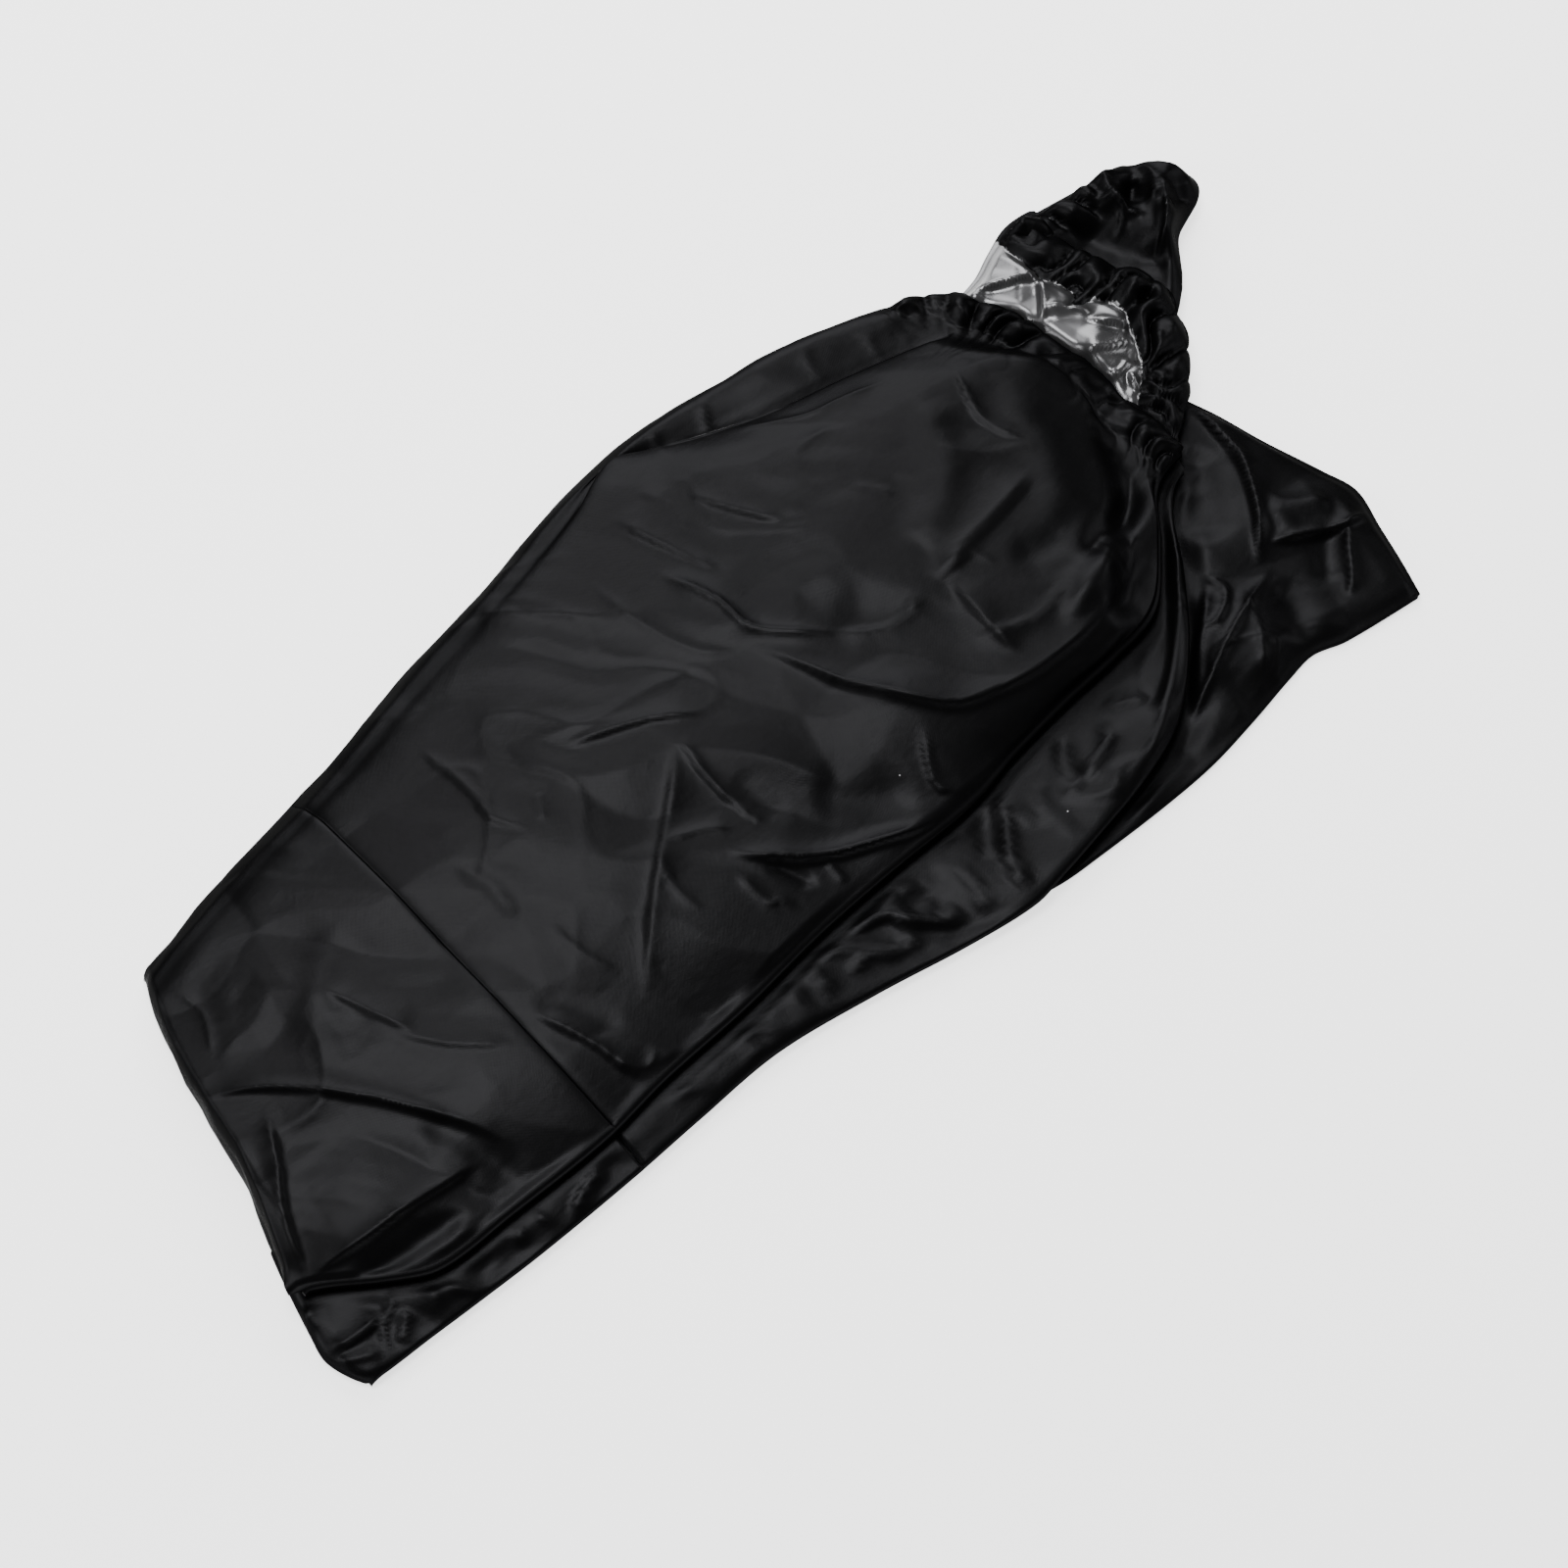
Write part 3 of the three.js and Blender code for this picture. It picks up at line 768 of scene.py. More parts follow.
TOP_CREASES = (
    # Seam's lower end
    Crease(((-270, -56), (-254, -96), (-247, -122), (-240, -142)), 3.4, 8, Profile.STEP),
    Crease(((-262, -50), (-244, -82), (-232, -110)), -1.6, 11, Profile.SOFT),
    Crease(((-252, -116), (-234, -134), (-222, -126)), 1.6, 5),
    Crease(((-222, -20), (-218, -50), (-208, -78)), 1.3, 4.1),
    Crease(((-240, 52), (-232, 20), (-234, -8)), -1.4, 6.1, Profile.SOFT),
    # Left half of the skirt
    Crease(((-204, 135), (-199, 84), (-202, 61), (-186, 34)), 2.3, 5.4, Profile.STEP),
    Crease(((-166, 54), (-178, 33)), 1.2, 3.4),
    Crease(((-142, 193), (-110, 184), (-89, 164), (-39, 113)), 2.0, 6.1),
    Crease(((-134, 68), (-80, 45), (-55, 28), (-45, 23)), 3, 4.8, Profile.STEP),
    Crease(((-150, 90), (-110, 70), (-60, 62), (-20, 50)), 1.8, 12),
    Crease(((-71, 27), (-76, -9), (-73, -44), (-66, -68)), 2.3, 5.4, Profile.STEP),
    Crease(((-70, 24), (-101, -5), (-123, -23), (-165, -59), (-210, -103)), 3.2, 14, Profile.STEP),
    Crease(((-60, -20), (-58, -48), (-54, -70)), -1, 8, Profile.SOFT),
    Crease(((-137, -33), (-143, -59), (-140, -80)), 1.4, 4.1),
    Crease(((-128, -29), (-103, -39), (-86, -51)), 2.2, 4.1, Profile.STEP),
    # Long crease over the shelf and the small folds around it
    Crease(((-100, -54), (-92, -71), (-59, -100), (-18, -119), (15, -132), (53, -140)), 8, 8.5, Profile.STEP),
    Crease(((-105, -73), (-103, -102), (-95, -108), (-92, -122)), 2.2, 3.4),
    Crease(((-84, -78), (-78, -96), (-70, -116)), -2.5, 4.8, Profile.SOFT),
    Crease(((-54, -106), (-54, -126)), 1.8, 2.7),
    Crease(((55, -79), (39, -105), (36, -117), (45, -128)), 3.2, 3.4, Profile.STEP),
    Crease(((-30, -60), (0, -90), (30, -100)), -2.5, 18, Profile.SOFT),
    # Folds that run from the roll to the bag
    Crease(((-39, 150), (-34, 105), (-18, 60), (8, 40)), 2.1, 8.5),
    Crease(((-1, 127), (15, 80), (20, 46), (63, 3)), 5.5, 11),
    Crease(((4, 176), (20, 130), (34, 92)), 3, 12, Profile.STEP),
    Crease(((54, 157), (71, 122), (90, 91)), 2.4, 4.8, Profile.STEP),
    Crease(((106, 182), (154, 149), (182, 140), (219, 128)), 2.8, 8.5),
    Crease(((30, 185), (40, 160), (36, 130)), 1.2, 4.8),
    # Edge of the bag and the creases on it
    Crease(((8, 44), (25, 7), (43, -32), (77, -80), (112, -95), (152, -102), (203, -99), (246, -82)), 7, 13,
           Profile.STEP),
    Crease(((66, 30), (104, -16), (150, -44)), -3, 24, Profile.SOFT),
    Crease(((125, -7), (89, -12), (56, 10)), 3, 10, Profile.STEP),
    Crease(((128, -3), (147, -8), (177, -2), (244, 8)), 5, 12, Profile.STEP),
    Crease(((141, -14), (138, -57), (137, -86)), 3.2, 10, Profile.STEP),
    Crease(((204, -66), (164, -72), (122, -56)), 2.8, 10, Profile.STEP),
    Crease(((255, 104), (243, 69), (246, 46), (256, 30)), 3, 4.8, Profile.STEP),
    Crease(((275, 80), (262, 20), (240, -20), (230, -60)), 4, 17, Profile.SOFT),
    Crease(((220, 110), (205, 60), (170, 30), (130, 26)), 3, 14, Profile.SOFT),
    Crease(((139, 86), (160, 57)), 1.2, 3.4),
    Crease(((167, -6), (173, -25)), 1.2, 3.4),
    Crease(((200, 70), (225, 40), (262, 22)), 1.7, 5.4),
    Crease(((180, -30), (215, -38), (252, -28)), -3, 11, Profile.SOFT),
    # Puffed fold beside the gather
    Crease(((322, -30), (304, -50), (280, -66), (245, -74), (212, -80), (172, -92)), 8.5, 12, Profile.SOFT),
    Crease(((300, -30), (278, -48), (246, -56), (218, -62)), -5, 7.6, Profile.SOFT),
    Crease(((268, -64), (240, -88), (214, -90)), 2.0, 4.1),
    # Roll along the far side, and the valley before it
    Crease(((48, 206), (93, 189), (149, 168), (196, 157), (241, 147), (284, 140)), -2.2, 11, Profile.SOFT),
    Crease(((117, 214), (108, 197), (100, 182)), 1.8, 4.1),
    Crease(((76, 216), (68, 200), (66, 188)), 1.6, 4.1),
    Crease(((46, 208), (91, 196), (134, 180), (203, 162), (271, 146)), 2.2, 4.8, Profile.STEP),
    Crease(((200, 200), (192, 184), (188, 166)), 1.2, 4.1),
    Crease(((250, 186), (236, 168), (232, 150)), 1.3, 4.1),
)

PANEL_CREASES = (
    Crease(((-467, 35), (-453, 33), (-424, 12), (-386, -31), (-363, -64), (-345, -93), (-334, -118)), 5, 6.8,
           Profile.STEP),
    Crease(((-372, -66), (-354, -91), (-348, -122), (-344, -144)), -3, 11, Profile.SOFT),
    Crease(((-346, -8), (-321, -42), (-290, -70)), 1.8, 5, Profile.STEP),
    Crease(((-358, 43), (-343, 4), (-332, -22)), 2.8, 12, Profile.STEP),
    Crease(((-320, 77), (-360, 40), (-391, -9)), 2.6, 16, Profile.SOFT),
    # Corner above the floor, where the folds meet
    Crease(((-486, -100), (-474, -99), (-440, -104), (-400, -107), (-352, -112)), 6, 11, Profile.STEP),
    Crease(((-486, -101), (-472, -60), (-452, -28), (-436, 4)), 4.5, 8.5, Profile.STEP),
    Crease(((-480, -112), (-456, -128), (-420, -140)), 1.8, 4.8),
    Crease(((-470, -116), (-430, -124), (-380, -130)), -4.5, 8.5, Profile.SOFT),
    Crease(((-461, 8), (-468, -28), (-476, -60)), 1.5, 4.1),
    Crease(((-430, 112), (-425, 84), (-440, 55)), 1.1, 4.1),
    Crease(((-420, 100), (-380, 66), (-352, 26)), 2.6, 18, Profile.SOFT),
)

BAND_CREASES = (
    Crease(((162, -141), (177, -152), (195, -162)), 3.3, 4.8, Profile.STEP),
    Crease(((153, -146), (150, -163), (120, -171), (92, -173)), 5.5, 6.8),
    Crease(((133, -136), (115, -160), (120, -183)), -3.2, 6.1, Profile.SOFT),
    Crease(((65, -137), (57, -159), (40, -182), (36, -210)), 6.5, 6, Profile.STEP),
    Crease(((65, -142), (70, -160), (68, -180)), 3.3, 4.1),
    Crease(((54, -139), (40, -160), (32, -174)), -3.2, 4.8, Profile.SOFT),
    Crease(((310, -62), (277, -100), (240, -136), (204, -164), (172, -186), (120, -202)), 5.5, 6.8),
    Crease(((250, -112), (220, -140), (180, -168)), -4.5, 8.5, Profile.SOFT),
    Crease(((209, -116), (226, -124), (240, -128)), 2.9, 4.1),
    Crease(((-78, -150), (-48, -154), (-34, -172), (-3, -194)), 6, 6.8, Profile.STEP),
    Crease(((-92, -172), (-74, -168), (-56, -184)), 3.3, 4.1),
    Crease(((-30, -150), (-14, -168), (-20, -188)), -2.9, 5.4, Profile.SOFT),
    Crease(((-115, -146), (-106, -158), (-114, -176)), 3.2, 4.1),
    Crease(((6, -148), (14, -172), (4, -204)), 3.2, 5.4),
    Crease(((96, -150), (84, -172), (86, -200)), 2.6, 5.4),
    Crease(((-180, -150), (-160, -160), (-146, -172)), 2.3, 4.8),
    Crease(((-240, -152), (-220, -160), (-206, -172)), 2.2, 4.8),
)

BUNCH_CREASES = (
    Crease(((482, 132), (470, 112), (452, 94), (433, 84)), 8, 6.8, Profile.STEP),
    Crease(((461, 159), (448, 150), (445, 124), (458, 112)), 8, 6),
    Crease(((476, 150), (478, 134), (462, 116)), 6, 5.1, Profile.STEP),
    Crease(((433, 146), (446, 136), (438, 122), (424, 116)), 8.5, 6),
    Crease(((470, 140), (462, 130), (466, 120)), -5, 7, Profile.SOFT),
    Crease(((408, 128), (421, 106), (436, 88), (446, 68)), -17, 12, Profile.SOFT),
    Crease(((468, 98), (450, 86), (433, 74)), 3, 7),
    Crease(((428, 166), (419, 148), (412, 132)), 9, 5.1),
    Crease(((416, 168), (407, 150), (404, 136)), 9, 4.2),
    Crease(((405, 170), (399, 156), (398, 146)), 8, 4.2),
    Crease(((440, 160), (430, 148), (424, 138)), 7, 4.2),
    Crease(((392, 178), (382, 170), (372, 164)), 8, 6, Profile.SOFT),
)

SILVER_CREASES = (
    Crease(((319, 152), (341, 139), (363, 123)), 7, 8, Profile.STEP),
    Crease(((360, 126), (349, 111), (336, 98)), 8, 8, Profile.STEP),
    Crease(((343, 105), (353, 97), (369, 79)), 6, 7),
    Crease(((358, 80), (377, 59), (386, 50), (382, 40), (378, 28)), 8, 5, Profile.STEP),
    Crease(((338, 62), (357, 51), (371, 47), (380, 40)), 5, 6, Profile.STEP),
    Crease(((340, 36), (353, 34), (364, 38)), 5, 5),
    Crease(((356, 32), (351, 17), (353, 2)), 6, 5, Profile.STEP),
    Crease(((366, 30), (361, 18), (361, 6)), 5, 4),
)

FAN_CREASES = (
    Crease(((378, -4), (375, -40), (370, -68), (349, -104), (320, -136)), 9, 7.6, Profile.STEP),
    Crease(((355, -30), (330, -74), (304, -104)), -6, 16, Profile.SOFT),
    Crease(((338, -127), (364, -142), (390, -154), (411, -156)), 7, 7.6, Profile.STEP),
    Crease(((394, -150), (378, -164), (363, -183), (349, -193)), 5, 8, Profile.STEP),
    Crease(((384, -143), (366, -158), (350, -178)), -3, 9, Profile.SOFT),
    Crease(((330, -140), (281, -156), (240, -172), (200, -190)), 6.5, 7.6),
    Crease(((290, -116), (262, -140), (226, -164), (196, -184)), 7.5, 7.6, Profile.STEP),
    Crease(((288, -112), (292, -132), (272, -146), (256, -140)), 5, 5.1),
    Crease(((300, -136), (290, -164), (264, -200)), 2.9, 5.4),
    Crease(((318, -150), (320, -170), (300, -196)), -4, 12, Profile.SOFT),
    Crease(((350, -110), (372, -122), (398, -130)), 4, 12, Profile.SOFT),
)


def spread(counts: tuple[int, ...]) -> np.ndarray:
    """Gives shares of a section with a number of columns between each two key points."""
    parts = [(k + np.arange(n) / n) / len(counts) for k, n in enumerate(counts)]
    return np.concatenate([*parts, [1.0]])


def total_relief(creases: tuple[Crease, ...], x: np.ndarray, y: np.ndarray) -> np.ndarray:
    """Adds up the height of several creases at plan places."""
    return np.sum([crease.relief(x, y) for crease in creases], axis=0)


@dataclass
class SkirtTop:
    """Top layer of the skirt, from the seam to the front hem and round the lip."""

    bundle: Bundle
    columns: tuple[int, ...] = TOP_COLUMNS
    lip_columns: int = LIP_COLUMNS
    straight_rows: int = 206
    hem_rows: int = 54
    straight_end: float = 250.0
    ruffles: Ruffles = Ruffles(pitch=21.0, height=10.5, casing=23.0, seed=4, reach=16.0)
    handling: Handling = Handling(seed=11)
    creases: tuple[Crease, ...] = TOP_CREASES

    def points(self) -> np.ndarray:
        """Lays the grid's points in millimetres."""
        b = self.bundle
        top = spread(self.columns)
        lip = np.arange(1, self.lip_columns + 1) / self.lip_columns
        shares = np.concatenate([top, lip])
        on_top = np.arange(len(shares)) < len(top)
        section_y = b.top_section(np.where(on_top, shares, 1.0), np.full(len(shares), 320.0))[0]
        column_y = np.where(on_top, section_y, -40)
        hem_x = b.front_hem.edge(column_y)
        place, distance = b.front_hem.measure(hem_x, column_y)
        mouth = np.where(on_top, hem_x + 3.2 * self.ruffles.puffs(place, distance), mix(340.0, 336.0, shares))
        start = np.where(on_top, mix(SEAM_AT_ROLL, SEAM_AT_LIP, shares), SEAM_AT_LIP) + HALF_SEAM
        near_seam = np.array(NEAR_SEAM)[:, None]
        straight = np.linspace(0, 1, self.straight_rows)[:, None]
        hem = (np.arange(1, self.hem_rows + 1) / self.hem_rows)[:, None]
        x = np.concatenate([
            start[None] + near_seam,
            mix(start[None] + WIDE_ROWS_START, self.straight_end, straight),
            mix(self.straight_end, mouth[None], hem),
        ])
        t = np.broadcast_to(shares, x.shape)
        y_top, z_top = b.top_section(np.where(on_top, t, 1.0), x)
        bag_gap = b.bag_edge(y_top) + 5 - x
        z_top = mix(np.minimum(z_top, HEM_HEIGHT), z_top, ease(bag_gap, -13, 17))
        turn = np.where(on_top, 0.0, t)
        y_lip, z_lip = b.fold(b.at["lip_y"](x), b.at["lip_z"](x), b.lip_radius(x), turn, 1)
        y, z = np.where(on_top, y_top, y_lip), np.where(on_top, z_top, z_lip)
        room = ease(mouth[None] - b.bag_edge(y_top) - 5, 2, 18)
        lift = self.ruffles.lift(*b.front_hem.measure(x, y_top)) * (0.3 + 0.7 * room)
        z = z + lift * on_top * ease(y_top, -50, -34) * ease(t, 0.16, 0.3)
        return np.stack([x, y, z], axis=2)

    def build(self, finishes: list[bpy.types.Material]) -> bpy.types.Object:
        """Makes the piece."""
        grid = ClothGrid("skirt_top", self.points())
        x, y, z = np.moveaxis(grid.points, 2, 0)
        on_top = np.arange(x.shape[1]) <= sum(self.columns)
        height = total_relief(self.creases, x, y) + self.handling.relief(x, y)
        before_lip = ease(sum(self.columns) - np.arange(x.shape[1]), 0, LIP_FADE)
        seam = -SEAM_DEPTH * np.exp(-np.abs(x - x[:1]) / SEAM_WIDTH)
        inside = ease(self.bundle.front_hem.edge(y) - x, 14, 40)
        grid.raise_by((height * inside * before_lip + seam) * on_top * ease(z, 3, 18))
        return grid.build(finishes)


@dataclass
class SkirtBack:
    """Back of the mouth, the band layer with its bunched hem, and the fold under it."""

    bundle: Bundle
    back_columns: int = 106
    fold_columns: int = 6
    band_columns: int = 84
    low_columns: int = 6
    straight_rows: int = 110
    mouth_rows: int = 110
    straight_end: float = 250.0
    ruffles: Ruffles = Ruffles(pitch=25.0, height=13.5, casing=36.0, seed=21, reach=8.0)
    handling: Handling = Handling(seed=37, facet_height=3.0, facet_size=34, crease_height=3.4, crease_size=26)
    creases: tuple[Crease, ...] = BAND_CREASES
    bunch_creases: tuple[Crease, ...] = BUNCH_CREASES
    silver_creases: tuple[Crease, ...] = SILVER_CREASES

    def band_shares(self) -> np.ndarray:
        """Gives the band layer's columns, crowded at the bunch and where the band shows."""
        k = np.arange(1, self.band_columns + 1) / self.band_columns
        return Curve(((0, 0), (0.5, 0.38), (0.6, 0.66), (1, 1)))(k)

    def points(self) -> tuple[np.ndarray, dict[str, slice]]:
        """Lays the grid's points in millimetres.

        Returns:
            The points, and the columns of each named stretch.
        """
        b = self.bundle
        back = np.arange(self.back_columns + 1) / self.back_columns
        turn = np.arange(1, self.fold_columns + 1) / self.fold_columns
        band = self.band_shares()
        low = 0.14 * np.arange(1, self.low_columns + 1) / self.low_columns
        parts = {"back": back, "inner": turn, "band": band, "band_fold": turn, "low": low}
        ends = np.cumsum([len(part) for part in parts.values()])
        where = {name: slice(end - len(part), end) for (name, part), end in zip(parts.items(), ends)}
        mouth = np.full(int(ends[-1]), 334.0)
        back_y = mix(
            b.at["lip_y"](385.0) + b.lip_radius(385.0), b.inner_side(385.0) - b.inner_radius(385.0), back
        )
        hem_x = b.back_hem.edge(back_y)
        mouth[where["back"]] = hem_x - 1 + 4 * self.ruffles.puffs(*b.back_hem.measure(hem_x, back_y))
        mouth[where["inner"]] = 400
        band_y = mix(
            b.inner_side(440.0) - b.inner_radius(440.0), b.at["band_y"](440.0) + b.band_radius(440.0), band
        )
        mouth[where["band"]] = b.bunch_edge(band_y)
        mouth[where["low"]] = 332
        straight = np.linspace(0, 1, self.straight_rows)[:, None]
        hem = (np.arange(1, self.mouth_rows + 1) / self.mouth_rows)[:, None]
        x = np.concatenate([
            mix(np.full((1, len(mouth)), SEAM_AT_LIP + HALF_SEAM), self.straight_end, straight),
            mix(self.straight_end, mouth[None], hem),
        ])
        y, z = np.empty_like(x), np.empty_like(x)
        lays = {
            "back": self.lay_back,
            "inner": self.lay_inner,
            "band": lambda t, x: self.lay_band(t, x, mouth[None, where["band"]]),
            "band_fold": self.lay_band_fold,
            "low": self.lay_low,
        }
        for name, lay in lays.items():
            part = where[name]
            t = np.broadcast_to(parts[name], x[:, part].shape)
            y[:, part], z[:, part] = lay(t, x[:, part])
        return np.stack([x, y, z], axis=2), where

    def lay_back(self, t: np.ndarray, x: np.ndarray) -> tuple[np.ndarray, np.ndarray]:
        """Lays the layer under the top, silver side up, with the back hem's casing."""
        b = self.bundle
        y = mix(b.at["lip_y"](x) + b.lip_radius(x), b.inner_side(x) - b.inner_radius(x), t)
        front = b.front_hem.edge(y)
        shown = ease(x, front - 8, front + 8) * ease(t, 0, 0.04) * (1 - ease(t, 0.95, 1))
        place, edge = b.back_hem.measure(x, y)
        folds = 9 + 8 * facets(x / 36, y / 36, 8) + 2.2 * facets(x / 21, y / 21, 5)
        folds = folds + total_relief(self.silver_creases, x, y)
        silver = ease(edge, self.ruffles.casing - 4, self.ruffles.casing + 8)
        hem = self.ruffles.lift(place, edge) * (1 - 0.8 * silver)
        return y, b.layer(5, x) + (2 + hem + silver * folds) * shown

    def lay_inner(self, t: np.ndarray, x: np.ndarray) -> tuple[np.ndarray, np.ndarray]:
        """Lays the fold at the rolled side."""
        b = self.bundle
        return b.fold(b.inner_side(x), b.layer(5, x), b.inner_radius(x), t, -1)

    def lay_band(self, t: np.ndarray, x: np.ndarray, end: np.ndarray) -> tuple[np.ndarray, np.ndarray]:
        """Lays the band layer and the crumpled bunch at its end.

        Args:
            t: share of the way across the layer.
            x: place along the bundle.
            end: where each column of the layer ends.

        Returns:
            Y and Z of each point.
        """
        b = self.bundle
        y = mix(b.inner_side(x) - b.inner_radius(x), b.at["band_y"](x) + b.band_radius(x), t)
        rise = ease(y, b.at["lip_y"](x) - 3, b.at["band_y"](x) + b.band_radius(x))
        height = mix(b.layer(4, x), b.at["band_z"](x), rise)
        edge = end - x
        bunch = ease(x, 414, 450) * ease(edge, -2, 14) * ease(y, 30, 56)
        lumps = 18 + 8 * facets(x / 27, y / 27, 7) + 3.5 * facets(x / 12, y / 12, 3)
        lumps = lumps + total_relief(self.bunch_creases, x, y)
        side = ease(x, 352, 372) * (1 - ease(x, 428, 446)) * ease(y, 128, 150)
        ruffles = 5 + 16 * self.ruffles.puffs(x + 0.3 * y, 18 + 0 * y) + 3 * facets(x / 11, y / 11, 2)
        return y, height + (bunch * lumps + side * ruffles) * ease(t, 0, 0.05)

    def lay_band_fold(self, t: np.ndarray, x: np.ndarray) -> tuple[np.ndarray, np.ndarray]:
        """Lays the band's own fold."""
        b = self.bundle
        return b.fold(b.at["band_y"](x), b.at["band_z"](x), b.band_radius(x), t, 1)

    def lay_low(self, t: np.ndarray, x: np.ndarray) -> tuple[np.ndarray, np.ndarray]:
        """Lays the cloth that runs back under the band."""
        b = self.bundle
        start = b.at["band_y"](x) + b.band_radius(x)
        y = mix(start, b.inner_side(x) - 4 - b.inner_radius(x), t)
        return y, mix(b.at["band_low_z"](x), b.layer(3, x), ease(y - start, 0, 34))

    def build(self, finishes: list[bpy.types.Material]) -> bpy.types.Object:
        """Makes the piece."""
        points, where = self.points()
        grid = ClothGrid("skirt_back", points)
        x, y, _ = np.moveaxis(points, 2, 0)
        height = total_relief(self.creases, x, y) + self.handling.relief(x, y)
        band = np.zeros(x.shape[1])
        band[where["band"]] = 1
        shown = 1 - ease(y, self.bundle.at["lip_y"](x) - 12, self.bundle.at["lip_y"](x) - 4)
        inward = ease(y, self.bundle.at["band_y"](x), self.bundle.at["band_y"](x) + 9)
        inward = inward * ease(x, -276, -262)
        grid.raise_by(np.maximum(height, DEEPEST) * band * shown * inward)
        near = self.bundle.back_hem.measure(x, y)[1] < self.ruffles.casing
        casing = near & (x > 300) & (np.arange(x.shape[1]) < self.back_columns + self.fold_columns)
        grid.inside_black = casing[:-1, :-1]
        return grid.build(finishes)


@dataclass
class SkirtFan:
    """Lowest layers of the skirt: the fan that spreads from the gather, and the cloth on the floor."""

    bundle: Bundle
    fan_columns: int = 130
    fold_columns: int = 6
    floor_columns: int = 14
    rows: int = 220
    handling: Handling = Handling(seed=53, facet_height=4.4, facet_size=44, crease_height=2.8, crease_size=34)
    creases: tuple[Crease, ...] = FAN_CREASES

    def points(self) -> tuple[np.ndarray, int]:
        """Lays the grid's points in millimetres, and gives how many columns are on the fan."""
        b = self.bundle
        k = np.arange(self.fan_columns + 1) / self.fan_columns
        fan = np.where(k < 0.12, 3.5 * k, mix(0.42, 1.0, (k - 0.12) / 0.88))
        turn = np.arange(1, self.fold_columns + 1) / self.fold_columns
        floor = np.arange(1, self.floor_columns + 1) / self.floor_columns
        outer_y = b.at["fan_y"](395.0) + b.inner_radius(395.0)
        fan_y = mix(b.inner_side(395.0) - 4 - b.inner_radius(395.0), outer_y, fan)
        floor_y = mix(outer_y, b.inner_side(395.0) - 8, floor)
        mouth = np.concatenate([b.fan_edge(fan_y), mix(391.0, 387.0, turn), b.fan_edge(floor_y) - 4])
        down = np.linspace(0, 1, self.rows)[:, None] ** 0.8
        x = mix(np.full((1, len(mouth)), SEAM_AT_LIP + HALF_SEAM), mouth[None], down)
        ends = np.cumsum([len(fan), len(turn), len(floor)])
        y, z = np.empty_like(x), np.empty_like(x)
        part = slice(0, ends[0])
        px, edge = x[:, part], mouth[None, part] - x[:, part]
        y[:, part] = mix(
            b.inner_side(px) - 4 - b.inner_radius(px), b.at["fan_y"](px) + b.inner_radius(px), fan
        )
        free = 1 - ease(y[:, part], b.at["band_y"](px) - 34, b.at["band_y"](px) - 6)
        free = free * ease(y[:, part], b.at["fan_y"](px) + 4, b.at["fan_y"](px) + 24)
        swell = 5 + 2 * np.sin(y[:, part] / 17 + px / 23)
        drop = 2.6 * (1 - ease(edge, 0, 10)) * ease(px, 330, 360)
        z[:, part] = b.layer(2, px) + swell * free * ease(edge, 0, 22) - drop
        part = slice(ends[0], ends[1])
        px = x[:, part]
        shares = np.broadcast_to(turn, px.shape)
        y[:, part], z[:, part] = b.fold(b.at["fan_y"](px), b.layer(2, px), b.inner_radius(px), shares, 1)
        part = slice(ends[1], ends[2])
        px = x[:, part]
        y[:, part] = mix(b.at["fan_y"](px) + b.inner_radius(px), b.inner_side(px) - 8, floor)
        z[:, part] = FLOOR_LAYER
        return np.stack([x, y, z], axis=2), int(ends[0])

    def build(self, finishes: list[bpy.types.Material]) -> bpy.types.Object:
        """Makes the piece."""
        points, fan_count = self.points()
        grid = ClothGrid("skirt_fan", points)
        x, y, _ = np.moveaxis(points, 2, 0)
        b = self.bundle
        height = 2 + total_relief(self.creases, x, y) + self.handling.relief(x, y)
        shown = 1 - ease(y, b.at["band_y"](x) - 12, b.at["band_y"](x) - 3)
        shown = np.maximum(shown * (x > 20), ease(x, 338, 352))
        edge = ease(y, b.at["fan_y"](x) + 1, b.at["fan_y"](x) + 12) * ease(points[-1, :, 0][None] - x, 0, 8)
        on_fan = np.arange(x.shape[1]) < fan_count
        grid.raise_by(height * shown * edge * on_fan)
        grid.points[..., 2] = np.where(on_fan, np.maximum(grid.points[..., 2], 2.4), grid.points[..., 2])
        return grid.build(finishes)


